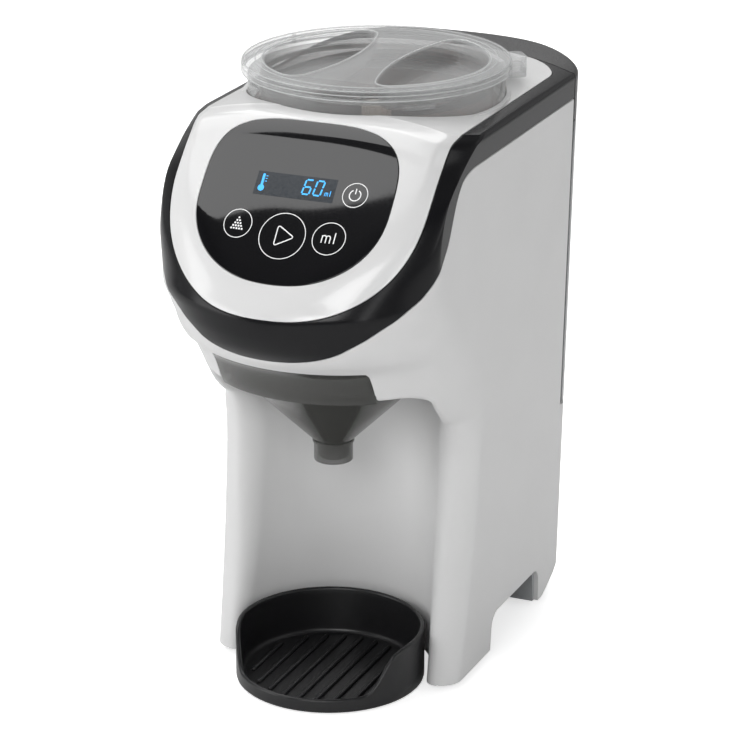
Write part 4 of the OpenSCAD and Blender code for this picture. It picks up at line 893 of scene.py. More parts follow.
def rib_tree():
    """Parallel round-ended ribs whose length follows a circle."""
    tree, given, out = nodes_tree("round_ended_ribs", [
        ("Count", "NodeSocketInt", 9), ("Pitch", "NodeSocketFloat", 0.009),
        ("Circle", "NodeSocketFloat", 0.04), ("Rib radius", "NodeSocketFloat", 0.001),
        ("Middle", "NodeSocketVector", None), ("Material", "NodeSocketMaterial", None)])
    add, link = tree.nodes.new, tree.links.new

    def sums(op, a, b=None):
        node = add("ShaderNodeMath")
        node.operation = op
        for k, v in enumerate((a, b)):
            if isinstance(v, (int, float)):
                node.inputs[k].default_value = v
            elif v is not None:
                link(v, node.inputs[k])
        return node.outputs[0]

    count, pitch, circle, thick = (given.outputs[k] for k in
                                   ("Count", "Pitch", "Circle", "Rib radius"))
    line = add("GeometryNodeMeshLine")
    link(count, line.inputs["Count"])
    step, start = add("ShaderNodeCombineXYZ"), add("ShaderNodeCombineXYZ")
    link(pitch, step.inputs["X"])
    link(sums("MULTIPLY", sums("MULTIPLY", sums("SUBTRACT", count, 1), pitch), -0.5),
         start.inputs["X"])
    link(step.outputs[0], line.inputs["Offset"])
    link(start.outputs[0], line.inputs["Start Location"])
    place, split = add("GeometryNodeInputPosition"), add("ShaderNodeSeparateXYZ")
    link(place.outputs[0], split.inputs[0])
    half = sums("SQRT", sums("SUBTRACT", sums("MULTIPLY", circle, circle),
                             sums("MULTIPLY", split.outputs["X"], split.outputs["X"])))
    bar = add("GeometryNodeMeshCylinder")
    bar.inputs["Vertices"].default_value = 16
    bar.inputs["Depth"].default_value = 1.0
    link(thick, bar.inputs["Radius"])
    ends = add("GeometryNodeMeshUVSphere")
    ends.inputs["Segments"].default_value, ends.inputs["Rings"].default_value = 16, 8
    link(thick, ends.inputs["Radius"])
    parts = add("GeometryNodeJoinGeometry")
    stretch = add("ShaderNodeCombineXYZ")
    stretch.inputs["X"].default_value = stretch.inputs["Y"].default_value = 1
    link(sums("MULTIPLY", half, 2), stretch.inputs["Z"])
    bars = add("GeometryNodeInstanceOnPoints")
    bars.inputs["Rotation"].default_value = (math.pi / 2, 0, 0)
    link(line.outputs["Mesh"], bars.inputs["Points"])
    link(bar.outputs["Mesh"], bars.inputs["Instance"])
    link(stretch.outputs[0], bars.inputs["Scale"])
    link(bars.outputs["Instances"], parts.inputs["Geometry"])
    for sign in (-1, 1):
        shift, way = add("GeometryNodeSetPosition"), add("ShaderNodeCombineXYZ")
        link(sums("MULTIPLY", half, sign), way.inputs["Y"])
        link(line.outputs["Mesh"], shift.inputs["Geometry"])
        link(way.outputs[0], shift.inputs["Offset"])
        tips = add("GeometryNodeInstanceOnPoints")
        link(shift.outputs["Geometry"], tips.inputs["Points"])
        link(ends.outputs["Mesh"], tips.inputs["Instance"])
        link(tips.outputs["Instances"], parts.inputs["Geometry"])
    moved = add("GeometryNodeTransform")
    link(parts.outputs["Geometry"], moved.inputs["Geometry"])
    link(given.outputs["Middle"], moved.inputs["Translation"])
    end_tree(tree, moved.outputs["Geometry"], given, out)
    return tree


def ring_tree():
    """Small bars stood round a circle."""
    tree, given, out = nodes_tree("bars_round_a_circle", [
        ("Count", "NodeSocketInt", 8), ("Radius", "NodeSocketFloat", 0.06),
        ("Size", "NodeSocketVector", None), ("Middle", "NodeSocketVector", None),
        ("Turn", "NodeSocketFloat", 0.0), ("Material", "NodeSocketMaterial", None)])
    add, link = tree.nodes.new, tree.links.new
    circle = add("GeometryNodeMeshCircle")
    link(given.outputs["Count"], circle.inputs["Vertices"])
    link(given.outputs["Radius"], circle.inputs["Radius"])
    bar = add("GeometryNodeMeshCube")
    bar.inputs["Vertices X"].default_value = bar.inputs["Vertices Y"].default_value = 3
    bar.inputs["Vertices Z"].default_value = 3
    link(given.outputs["Size"], bar.inputs["Size"])
    place, angle = add("GeometryNodeInputPosition"), add("FunctionNodeAlignEulerToVector")
    angle.axis = "X"
    link(place.outputs[0], angle.inputs["Vector"])
    on = add("GeometryNodeInstanceOnPoints")
    link(circle.outputs["Mesh"], on.inputs["Points"])
    link(bar.outputs["Mesh"], on.inputs["Instance"])
    link(angle.outputs["Rotation"], on.inputs["Rotation"])
    spin, moved = add("ShaderNodeCombineXYZ"), add("GeometryNodeTransform")
    link(given.outputs["Turn"], spin.inputs["Z"])
    link(on.outputs["Instances"], moved.inputs["Geometry"])
    link(given.outputs["Middle"], moved.inputs["Translation"])
    link(spin.outputs[0], moved.inputs["Rotation"])
    end_tree(tree, moved.outputs["Geometry"], given, out)
    return tree


# ---- shell pieces ---------------------------------------------------------------------------

cache = {}


def body():
    """The form and its skin, made once."""
    if "form" not in cache:
        cache["form"] = Form()
        cache["skin"] = body_skin(cache["form"])
    return cache["form"], cache["skin"]


class FORMULA_OT_casing(Operator):
    """Builds the casing: sides, legs and bay in one moulding"""

    bl_idname = "formula.casing"
    bl_label = "Casing"

    def execute(self, context):
        f, skin = body()
        m = finishes()["side_shell"]
        gap, r = f.seam / 2, 0.4
        skin = skin.clip(lambda p, n: -distance(f.band, p, n) - gap - r)
        skin = skin.clip(lambda p, n: np.maximum(f.seam_back - r - p[:, 1], f.ledge - r - p[:, 2]))
        skin = skin.clip(lambda p, n: p[:, 2] - f.skirt - r)
        skin = skin.clip(lambda p, n: -distance(f.mouth, p, n))
        skin = skin.clip(lambda p, n: -distance(f.notch, p, n) - r)

        def edge(p):
            return np.where(np.abs(f.mouth(p)) < 0.8, 0.02, r)

        shell = skin_piece("casing_shell", skin, f.wall, edge, m)
        bay = bay_skin(f).clip(lambda p, n: np.maximum(
            np.maximum(np.abs(p[:, 0]) - f.bay_funnel_half - 0.5, p[:, 1] + 3.5),
            155 - p[:, 2]))
        wall = skin_piece("casing_bay", bay, 1.6, 0.02, m)
        seat(join("casing_body", [shell, wall]), "machine", ["casing"])
        return {"FINISHED"}


class FORMULA_OT_band(Operator):
    """Builds the trim band round the white panel"""

    bl_idname = "formula.band"
    bl_label = "Trim band"

    def execute(self, context):
        f, skin = body()
        r = 0.35
        skin = skin.clip(lambda p, n: distance(f.band, p, n) - f.seam / 2 - r)
        skin = skin.clip(lambda p, n: -distance(f.panel, p, n) - f.seam - r)
        skin = skin.clip(lambda p, n: f.seam_back - r - p[:, 1])
        seat(skin_piece("trim_band_loop", skin, 1.8, r, finishes()["band"]), "machine",
             ["trim_band"])
        return {"FINISHED"}


class FORMULA_OT_cover(Operator):
    """Builds the white top cover with its openings for the glass and the hopper"""

    bl_idname = "formula.cover"
    bl_label = "Top cover"

    def execute(self, context):
        f, skin = body()
        r = 0.35

        def hole(p):
            return np.where(p[:, 2] > 240,
                            np.hypot(p[:, 0], p[:, 1] - f.hopper_middle) - f.hopper_collar - 0.5, 9)

        skin = skin.clip(lambda p, n: distance(f.panel, p, n) - r)
        skin = skin.clip(lambda p, n: f.seam_back - r - p[:, 1])
        skin = skin.clip(lambda p, n: hole(p) - r)
        skin = skin.clip(lambda p, n: -distance(f.glass, p, n) - 0.2 - r)
        m = finishes()["white_cover"]
        shell = skin_piece("cover_shell", skin, 2.4, r, m)
        ring = f.hopper_collar + 0.5
        low = 279
        collar = lathe("cover_collar", [(ring, low), (ring + 2.2, low), (ring + 2.2, 283.0),
                                        (ring, 283.0)], (0, f.hopper_middle), m)
        ledge = cache["skin"].clip(lambda p, n: distance(f.glass, p, n) + 2.5)
        ledge = ledge.clip(lambda p, n: 4 - distance(f.glass, p, n))
        bed = Skin(ledge.points - ledge.normals * (1.95), ledge.normals, ledge.faces)
        bed = skin_piece("cover_ledge", bed, 1.0, 0.2, m)
        seat(join("top_cover_white", [shell, collar, bed]), "machine", ["top_cover"])
        return {"FINISHED"}


def strokes(name, f, lines, finish, out=PRINT_RISE):
    """Thin printed strokes that follow the glass. Each is (points, width, closed) in the glass's
    own plane: x across and u up the slope, from the glass's middle."""
    points, faces = [], []
    for path, width, closed in lines:
        p = np.asarray(path, float)
        if closed:
            t = np.roll(p, -1, 0) - np.roll(p, 1, 0)
        else:
            t = np.vstack([p[1] - p[0], p[2:] - p[:-2], p[-1] - p[-2]]) if len(p) > 2 else \
                np.vstack([p[1] - p[0], p[1] - p[0]])
        t = unit(t)
        side = np.column_stack([-t[:, 1], t[:, 0]]) * width / 2
        left, right = p + side, p - side
        rows = []
        for flat, lift in ((left, out), (right, out), (right, -0.02), (left, -0.02)):
            q, _ = f.on_front(flat[:, 0], f.glass_mid + flat[:, 1] / SLANT, lift)
            rows.append(q)
        base, n = len(points), len(p)
        for i in range(n):
            points += [rows[k][i] for k in range(4)]
        for i in range(n if closed else n - 1):
            a, b = base + 4 * i, base + 4 * ((i + 1) % n)
            faces += [[a + k, b + k, b + (k + 1) % 4, a + (k + 1) % 4] for k in range(4)]
        if not closed:
            end = base + 4 * (n - 1)
            faces += [[base + 3, base + 2, base + 1, base], [end, end + 1, end + 2, end + 3]]
    obj = finish_mesh(name, points, faces, finish)
    tidy(obj)
    return obj


def arc(x, u, r, start=0.0, stop=360.0, steps=48, squeeze=1.0):
    """Points round a circle in the glass's plane."""
    a = np.radians(np.linspace(start, stop, steps + 1))
    if stop - start >= 360:
        a = a[:-1]
    return np.column_stack([x + r * squeeze * np.cos(a), u + r * np.sin(a)])


def blob(x, u, r):
    """A filled dot, as a wide short ring."""
    return (arc(x, u, r / 2, steps=16), r, True)


def key_marks(f):
    """The keys' outlines and their generic signs."""

    def up(z):
        return (z - f.glass_mid) * SLANT

    thin, bold = 0.36, 0.5
    lines = []
    for x, z, r in ((-23.5, 243.8, 7.0), (0, 241.2, 11.3), (22.8, 242.3, 7.9), (29.4, 259.6, 5.9)):
        lines.append((arc(x, up(z), r, steps=72), thin, True))
    # Start: a triangle with rounded corners
    x, u = 0.6, up(241.2)
    tri = fillet([(x - 3.7, u - 5.2), (x + 5.4, u), (x - 3.7, u + 5.2)], [0.8] * 3, 4)
    lines.append((tri, bold, True))
    # Power: an open ring and a bar
    x, u = 29.4, up(259.6)
    lines.append((arc(x, u, 2.7, 120, 420, 30), 0.5, False))
    lines.append(([(x, u + 0.6), (x, u + 3.3)], 0.5, False))
    # Powder: a heap of dots
    x, u = -23.5, up(243.8)
    for row in range(5):
        for k in range(row + 1):
            lines.append(blob(x + (k - row / 2) * 1.35, u + 2.9 - row * 1.35, 0.48))
    # Quantity: the letters of millilitre
    x, u = 22.8, up(242.3)
    for k in range(3):
        lines.append(([(x - 3.3 + 2.0 * k, u - 2.2), (x - 3.3 + 2.0 * k, u + 0.4)], bold, False))
    for k in range(2):
        lines.append((arc(x - 2.3 + 2.0 * k, u + 0.4, 1.0, 0, 180, 12), bold, False))
    lines.append(([(x - 3.3, u + 0.2), (x - 3.3, u + 1.5)], bold, False))
    lines.append(([(x + 2.7, u - 2.2), (x + 2.7, u + 3.2)], bold, False))
    return lines


def digit_marks(f):
    """The display's digits, unit and thermometer."""
    u0 = (260.7 - f.glass_mid) * SLANT
    half_digit, slope = 3.6, 0.12
    lines = []
    segments = {"a": ((0, 2), (1, 2)), "b": ((1, 2), (1, 1)), "c": ((1, 1), (1, 0)),
                "d": ((0, 0), (1, 0)), "e": ((0, 0), (0, 1)), "f": ((0, 1), (0, 2)),
                "g": ((0, 1), (1, 1))}
    for x0, lit in ((3.4, "acdefg"), (9.0, "abcdef")):
        for key in lit:
            (a, b), (c, d) = segments[key]
            p, q = np.array([a, b]) * half_digit, np.array([c, d]) * half_digit
            gap = unit(q - p) * 0.35
            lines.append(([(x0 + e[0] + e[1] * slope, u0 - half_digit + e[1])
                           for e in (p + gap, q - gap)], 0.75, False))
    x, u = 14.8, u0 - 3.4
    for k in range(3):
        lines.append(([(x + 0.75 * k, u), (x + 0.75 * k, u + 1.5)], 0.3, False))
    lines.append(([(x, u + 1.6), (x + 1.5, u + 1.6)], 0.3, False))
    lines.append(([(x + 2.6, u), (x + 2.6, u + 2.8)], 0.34, False))
    x = -17.3
    lines.append(([(x, u0 - 2.0), (x, u0 + 4.0)], 1.2, False))
    lines.append(blob(x, u0 - 3.0, 1.6))
    for k in range(3):
        lines.append(([(x + 1.1, u0 + 0.4 + 1.3 * k), (x + 2.1, u0 + 0.4 + 1.3 * k)], 0.35, False))
    return lines


class FORMULA_OT_glass(Operator):
    """Builds the control glass with its printed keys and lit display"""

    bl_idname = "formula.glass"
    bl_label = "Control glass"

    def execute(self, context):
        f, skin = body()
        r = 0.3
        skin = skin.clip(lambda p, n: distance(f.glass, p, n) - r)
        paint = finishes()
        seat(skin_piece("control_glass_plate", skin, 1.75, r, paint["control_glass"]),
             "machine", ["control_glass"])
        seat(strokes("touch_key_marks", f, key_marks(f), paint["key_print"]), "machine")
        window = ([(x, 8.0) for x in np.linspace(-20.5, 19.5, 25)], 11.6, False)
        seat(strokes("display_window", f, [window], paint["digit_dim"], WINDOW_RISE), "machine")
        seat(strokes("display_digits", f, digit_marks(f), paint["digit_print"],
                     DIGIT_RISE), "machine")
        return {"FINISHED"}


class FORMULA_OT_tank_lid(Operator):
    """Builds the lid over the water tank"""

    bl_idname = "formula.tank_lid"
    bl_label = "Tank lid"

    def execute(self, context):
        f, skin = body()
        r, low, y = 0.5, 255.3, f.seam_back + 2 * f.seam
        skin = skin.clip(lambda p, n: p[:, 1] - y - r)
        skin = skin.clip(lambda p, n: p[:, 2] - low - r)
        m = finishes()["tank_lid"]
        cap = skin_piece("tank_lid_cap", skin, 2.0, r, m)
        # Front wall, under the crown
        xs = np.linspace(-f.half + 1.3, f.half - 1.3, 41)
        top = f.cover_top - f.drop(np.abs(xs) / f.half) - 1.2
        rings = []
        for depth in (y + 0.05, y + 2.0):
            ring = [(x, depth, z) for x, z in zip(xs, top)]
            ring += [(xs[-1] - 0.5, depth, low + 0.02), (xs[0] + 0.5, depth, low + 0.02)]
            rings.append(ring)
        front = loft("tank_lid_front", rings, m)
        seat(join("tank_lid_black", [cap, front]), "tank_cover", ["tank_lid"])
        return {"FINISHED"}


# ---- hopper ---------------------------------------------------------------------------------


def circle_points(r, centre=(0.0, 0.0), n=96, start=0.0, stop=360.0):
    """Points round a circle in plan."""
    a = np.radians(np.linspace(start, stop, n, endpoint=stop - start < 359))
    if stop - start >= 359:
        a = np.radians(np.arange(n) * 360 / n)
    return np.column_stack([centre[0] + r * np.cos(a), centre[1] + r * np.sin(a)])


class FORMULA_OT_hopper(Operator):
    """Builds the clear hopper with its collar, lugs and lock tab"""

    bl_idname = "formula.hopper"
    bl_label = "Hopper"

    def execute(self, context):
        f, _ = body()
        m = finishes()["clear_hopper"]
        c = (0, f.hopper_middle)
        r, ring, low, rim = f.hopper_radius, f.hopper_collar, f.hopper_low, f.hopper_rim
        inner = r - f.hopper_wall
        profile = fillet([(r - 6, low), (r, low), (r, 279.6), (ring, 279.6), (ring, rim),
                          (inner, rim), (inner, low + 2.5), (r - 6, low + 2.5)],
                         [0, 1.6, 0.6, 0.8, 0.9, 0.7, 2.2, 0], 5)
        wall = lathe("hopper_wall", profile, c, m, 144)
        sector = np.vstack([circle_points(50, c, 10, -103, -77), circle_points(34, c, 8, -77, -103)])
        floor = plate("hopper_floor", circle_points(r - 6, c, 144),
                      [circle_points(9.05, c, 48), sector], low, low + 2.5, m, 0.25)
        a = math.radians(38)
        way, side = np.array([math.cos(a), math.sin(a)]), np.array([-math.sin(a), math.cos(a)])
        outline = [np.array(c) + way * u + side * v for u, v in
                   fillet([(ring - 1.5, -6), (74, -6), (74, 6), (ring - 1.5, 6)],
                          [0.5, 2.2, 2.2, 0.5], 4)]
        tab = plate("hopper_tab", outline, [], f.cover_top - 2, rim - 1.6, m, 0.5)
        block = [np.array(c) + way * u + side * v for u, v in
                 fillet([(f.hopper_lid + 1, -6), (74, -6), (74, 6), (f.hopper_lid + 1, 6)],
                        [0.8, 2.2, 2.2, 0.8], 4)]
        head = plate("hopper_tab_head", block, [], f.cover_top - 1.9, rim + 3.2, m, 0.8)
        lugs = []
        for k in range(4):
            a0 = 35 + 90 * k
            arc_out = circle_points(ring + 1, c, 8, a0, a0 + 14)
            arc_in = circle_points(ring - 1, c, 8, a0, a0 + 14)[::-1]
            lugs.append(plate(f"lug_{k}", np.vstack([arc_out, arc_in]), [], rim - 4, rim - 2, m, 0.3))
        seat(join("hopper_clear", [wall, floor, tab, head, *lugs]), "hopper_body", ["hopper"])
        return {"FINISHED"}


def scoop_ring(inset, radius, grip, corner, n=96):
    """Outline of one scoop of the lid: a circle cut off by the grip, in plan, with its middle."""
    mid = np.array([grip + (radius - grip) * 0.48, 0.0])
    turn = np.arange(n) * 2 * math.pi / n
    way = np.column_stack([np.cos(turn), np.sin(turn)])

    def inside(p):
        d1 = radius - np.hypot(p[:, 0], p[:, 1])
        d2 = p[:, 0] - grip + 3 - 9 * (p[:, 1] / 50) ** 2
        a, b = corner - d1, corner - d2
        return np.where((a > 0) & (b > 0), corner - np.hypot(a, b), np.minimum(d1, d2))

    lo, hi = np.zeros(n), np.full(n, 2 * radius)
    for _ in range(40):
        t = (lo + hi) / 2
        good = inside(mid + way * t[:, None]) > inset
        lo, hi = np.where(good, t, lo), np.where(good, hi, t)
    return mid + way * lo[:, None], mid


def bead(name, path, radius, finish, sides=8):
    """Closed round bead along a loop of points."""
    p = np.asarray(path, float)
    way = unit(np.roll(p, -1, 0) - np.roll(p, 1, 0))
    side = unit(np.cross(way, [0, 0, 1]))
    up = np.cross(side, way)
    a = np.arange(sides) * 2 * math.pi / sides
    rows = p[:, None] + radius * (side[:, None] * np.cos(a)[None, :, None]
                                  + up[:, None] * np.sin(a)[None, :, None])
    n = len(p)
    faces = [[i * sides + k, ((i + 1) % n) * sides + k, ((i + 1) % n) * sides + (k + 1) % sides,
              i * sides + (k + 1) % sides] for i in range(n) for k in range(sides)]
    obj = finish_mesh(name, rows.reshape(-1, 3), faces, finish, angle=60)
    tidy(obj, 60)
    return obj


class FORMULA_OT_lid(Operator):
    """Builds the clear hopper lid with its grip and two scoops"""

    bl_idname = "formula.lid"
    bl_label = "Hopper lid"

    def execute(self, context):
        f, _ = body()
        m = finishes()["clear_lid"]
        R, top, low, sink = f.hopper_lid, f.hopper_lid_top, 293.8, f.hopper_sink
        c = np.array([0.0, f.hopper_middle])
        well, grip = 55.0, f.hopper_grip
        plug = 55.1
        # Scoops: rings from the top edge down the wall to the floor
        steps = [(0.0, 0.0)]
        edge, foot = 1.6, 5.0
        for a in np.linspace(0, math.pi / 2, 6)[1:]:
            steps.append((edge * math.sin(a), edge * (1 - math.cos(a))))
        depth = sink - 2.0
        for a in np.linspace(0, math.pi / 2, 8):
            steps.append((edge + 0.9 + foot * (1 - math.cos(a)), depth - foot * (1 - math.sin(a))))
        parts = []
        rings_2d = []
        for turn in (0, math.pi):
            spin = np.array([[math.cos(turn), math.sin(turn)], [-math.sin(turn), math.cos(turn)]])
            rings = []
            for inset, fall in steps:
                p, mid = scoop_ring(inset, well, grip, SCOOP_CORNER)
                q = p @ spin + c
                if not rings:
                    rings_2d.append(q)
                rings.append(np.column_stack([q, np.full(len(q), top - fall)]))
            middle = np.append(mid @ spin + c, top - depth)
            for s in (0.35, 0.7):
                rings.append(rings[len(steps) - 1] * (1 - s) + middle * s)
            parts.append((rings, middle))
        # One closed wall: the top with the scoops, given its thickness below
        rim = 1.4
        brim = circle_points(R - rim, c, 192)
        flat = [[Vector((*p, 0)) for p in loop] for loop in [brim] + [r[::-1] for r in rings_2d]]
        loops = [brim] + [r[::-1] for r in rings_2d]
        p2 = np.concatenate(loops)
        points = [np.column_stack([p2, np.full(len(p2), top)])]
        faces = [list(t) for t in tessellate_polygon(flat)]
        count = len(p2)
        offset = len(brim)
        starts = []
        for loop in rings_2d:
            starts.append(list(range(offset + len(loop) - 1, offset - 1, -1)))
            offset += len(loop)
        for (rings, middle), first in zip(parts, starts):
            last = first
            for ring in rings[1:]:
                points.append(ring)
                now = list(range(count, count + len(ring)))
                count += len(ring)
                n = len(ring)
                faces += [[last[j], last[(j + 1) % n], now[(j + 1) % n], now[j]] for j in range(n)]
                last = now
            points.append(middle[None])
            faces += [[last[j], last[(j + 1) % n], count] for j in range(n)]
            count += 1
        last = list(range(len(brim)))
        rows = [(R - rim + rim * math.sin(a), top - rim * (1 - math.cos(a)))
                for a in np.linspace(0, math.pi / 2, 6)[1:]] + [(R, low + 0.5)]
        for radius, z in rows:
            ring = circle_points(radius, c, 192)
            points.append(np.column_stack([ring, np.full(192, z)]))
            now = list(range(count, count + 192))
            count += 192
            faces += [[last[j], now[j], now[(j + 1) % 192], last[(j + 1) % 192]] for j in range(192)]
            last = now
        obj = finish_mesh("lid_top", np.concatenate(points), faces, m)
        bm = bmesh.new()
        bm.from_mesh(obj.data)
        bmesh.ops.recalc_face_normals(bm, faces=bm.faces)
        if sum(face.normal.z * face.calc_area() for face in bm.faces) < 0:
            bmesh.ops.reverse_faces(bm, faces=bm.faces)
        bm.to_mesh(obj.data)
        bm.free()
        thick = obj.modifiers.new("Wall", "SOLIDIFY")
        thick.thickness, thick.offset = 1.7 * MM, -1
        bake(obj)
        shade_smooth(obj.data, 34)
        skirt = lathe("lid_plug", fillet([(plug - 1.6, 284.5), (plug, 284.5), (plug, top - 1.5),
                                          (plug - 1.6, top - 1.5)], [0.5, 0.5, 0, 0], 3), c, m, 160)
        tabs = run_tree("lid_tabs", ring_tree(), {
            "Count": context.scene.formula_hopper.tabs, "Radius": (R - 0.2) * MM,
            "Size": (1.0 * MM, 1.6 * MM, 4.6 * MM), "Middle": (c[0] * MM, c[1] * MM, 296.3 * MM),
            "Turn": 0.3, "Material": m}, m)
        seat(join("hopper_lid_clear", [obj, skirt, tabs]), "lid", ["hopper_lid"])
        # Whitish beads along the scoops' edges and round the lid: raised beads whose pale, denser colour
        # is a painted highlight line
        painted_highlight_finish = finishes()["lid_painted_highlight"]
        beads = []
        for k, ring in enumerate(rings_2d):
            beads.append(bead(f"bead_{k}", np.column_stack([ring, np.full(len(ring), top - 0.43)]),
                              0.42, painted_highlight_finish))
        for k, (radius, z) in enumerate(((R - 0.25, low + 0.9), (R - 0.9, top - 0.75),
                                         (R - 0.25, low + 3.4), (58.2, top - 0.26))):
            beads.append(bead(f"bead_r{k}", np.column_stack([circle_points(radius, c, 160),
                                                             np.full(160, z)]), 0.24, painted_highlight_finish))
        seat(join("hopper_lid_painted_highlights", beads), "lid")
        return {"FINISHED"}


# ---- funnel, tray and tank ------------------------------------------------------------------


class FORMULA_OT_funnel(Operator):
    """Builds the smoked funnel: curved plate, drawer, cone and spout"""

    bl_idname = "formula.funnel"
    bl_label = "Funnel"

    def execute(self, context):
        f, skin = body()
        m = finishes()["smoke_funnel"]
        r, half, top = 0.15, f.bay_funnel_half, f.bay_funnel_top
        low = f.bay_top - 0.5
        front = skin.clip(lambda p, n: half - r - np.abs(p[:, 0]))
        front = front.clip(lambda p, n: np.where(p[:, 1] < 0, 1.0, -1.0))
        front = front.clip(lambda p, n: top - r - p[:, 2])
        front = front.clip(lambda p, n: p[:, 2] - low - r)
        face = skin_piece("funnel_plate", front, 2.4, r, m)
        c = (0, f.bay_spout_middle)
        spout, cone = f.bay_spout, f.bay_cone
        cone_low, wall = 123.3, 1.8
        shoulder = cone_low + (cone - spout) / 1.04
        profile = [(spout - wall, cone_low - 11), (spout, cone_low - 11), (spout, cone_low - 0.4),
                   (cone, shoulder), (cone, low - 1.4), (cone + 1.4, low - 1.4), (cone + 1.4, low),
                   (cone - 2, low), (cone - 2, shoulder + 0.7), (spout - wall, cone_low + 1.2)]
        profile = fillet(profile, [0.6, 0.6, 1.6, 0.9, 0.25, 0.4, 0.3, 0.3, 0.9, 1.6], 4)
        body_cone = lathe("funnel_cone", profile, c, m, 144)
        drawer, back = half - 3.4, -4.0
        xs = np.linspace(-drawer, drawer, 25)
        front_y = f.front_of(xs, 160.5) + 1.0
        outline = list(zip(xs, front_y)) + [(drawer, back), (-drawer, back)]
        hole = circle_points(cone - 3.0, c, 96)
        hole = np.column_stack([np.clip(hole[:, 0], -drawer + 2, drawer - 2),
                                np.minimum(hole[:, 1], back - 2)])
        floor = plate("funnel_floor", outline, [hole], low, low + 2, m, 0.2)
        sides = [box("funnel_side_l", (-drawer, -78, low + 1.9), (-drawer + 2, back, top - 0.5), m, 0.4),
                 box("funnel_side_r", (drawer - 2, -78, low + 1.9), (drawer, back, top - 0.5), m, 0.4),
                 box("funnel_back", (-drawer, back - 2, low + 1.9), (drawer, back, top - 0.5), m, 0.4)]
        # Inner tube that the powder falls through, and the spout's collar
        sides.append(lathe("funnel_tube", fillet(
            [(spout - 3.6, cone_low - 9.6), (spout - 2.8, cone_low - 9.6),
             (spout - 2.8, cone_low + 4), (spout - 3.6, cone_low + 4)], [0.3] * 4, 2), c, m, 64))
        sides.append(lathe("funnel_collar", fillet(
            [(spout - 0.2, cone_low - 1.6), (spout + 0.7, cone_low - 1.6),
             (spout + 0.7, cone_low - 0.2), (spout - 0.2, cone_low - 0.2)], [0, 0.3, 0.3, 0], 2),
            c, m, 96))
        for s in (-1, 1):
            x0, x1 = sorted((s * (drawer - 0.2), s * (drawer + 3.1)))
            sides.append(box("funnel_rib", (x0, -76.9, 165.5), (x1, back, 167.3), m, 0.3))
        seat(join("funnel_smoked", [face, body_cone, floor, *sides]), "funnel_drawer",
             ["funnel"])
        return {"FINISHED"}


class FORMULA_OT_tray(Operator):
    """Builds the drip tray with its low front lip and ribbed floor"""

    bl_idname = "formula.tray"
    bl_label = "Drip tray"

    def execute(self, context):
        f, _ = body()
        m = finishes()["tray"]
        R, y0, high, lip, wall = (f.bay_tray, f.bay_tray_middle, f.bay_tray_high, f.bay_tray_lip,
                                  f.bay_tray_wall)
        stations = [(y0 - R - 1, lip), (y0 - R * 0.72, lip + 0.5), (y0 - R * 0.38, high - 2),
                    (y0 - R * 0.1, high), (y0 + R + 1, high)]
        turn = np.radians(np.arange(192) * 360 / 192)
        way = np.column_stack([np.cos(turn), np.sin(turn)])
        middle = np.array([0, y0])
        floor = 2.5
        top = curve(stations, y0 + R * way[:, 1])
        half = wall / 2
        rows = []

        def row(radius, z):
            p = middle + way * (radius + 0 * turn)[:, None]
            rows.append(np.column_stack([p, z + 0 * turn]))

        for a in np.linspace(0, math.pi / 2, 4):
            row(R - 1.6 + 1.6 * math.sin(a), 1.6 - 1.6 * math.cos(a))
        for s in np.linspace(0, 1, 8)[1:]:
            row(R, 1.6 + (top - half - 1.6) * s)
        for a in np.linspace(0, math.pi, 9)[1:]:
            row(R - half + half * math.cos(a), top - half + half * math.sin(a))
        fil = 2.6
        for s in np.linspace(0, 1, 8)[1:]:
            row(R - wall, top - half + (floor + fil - top + half) * s)
        for a in np.linspace(0, math.pi / 2, 6)[1:]:
            row(R - wall - fil * (1 - math.cos(a)), floor + fil * (1 - math.sin(a)))
        for s in (0.6, 0.3):
            row((R - wall - fil) * s, floor + 0 * turn)
        shell = loft("tray_shell", rows, m, 40)
        ribs = run_tree("tray_ribs", rib_tree(), {
            "Count": context.scene.formula_bay.tray_ribs,
            "Pitch": 2 * (R - 8) / context.scene.formula_bay.tray_ribs * MM,
            "Circle": (R - 8.5) * MM, "Rib radius": 1.15 * MM,
            "Middle": (0, y0 * MM, 3.0 * MM), "Material": m}, m)
        seat(join("drip_tray_black", [shell, ribs]), "tray", ["drip_tray"])
        return {"FINISHED"}


def tank_ring(f, inset, z, y_front, corner=1.6):
    """Plan outline of the tank at a height."""
    w = float(f.half_w(z)) - inset
    m = 14
    right = []
    for a in np.linspace(-math.pi / 2, 0, 5):
        right.append((w - corner + corner * math.cos(a), y_front + corner + corner * math.sin(a)))
    for y in np.linspace(y_front + corner, float(f.back_of(w, z, inset)), 4)[1:-1]:
        right.append((w, y))
    for i in range(m, -1, -1):
        x = w * (1 - 0.5 * (1 - math.sin(math.pi / 2 * i / m)))
        right.append((x, float(f.back_of(x, z, inset))))
    for x in np.linspace(w * 0.5, 0, 6)[1:-1]:
        right.append((x, float(f.back_of(x, z, inset))))
    left = [(-x, y) for x, y in reversed(right)]
    ring = right + left
    front = [(x, y_front) for x in np.linspace(-w + corner, w - corner, 16)[1:-1]]
    return np.array([(x, y, z) for x, y in ring + front])


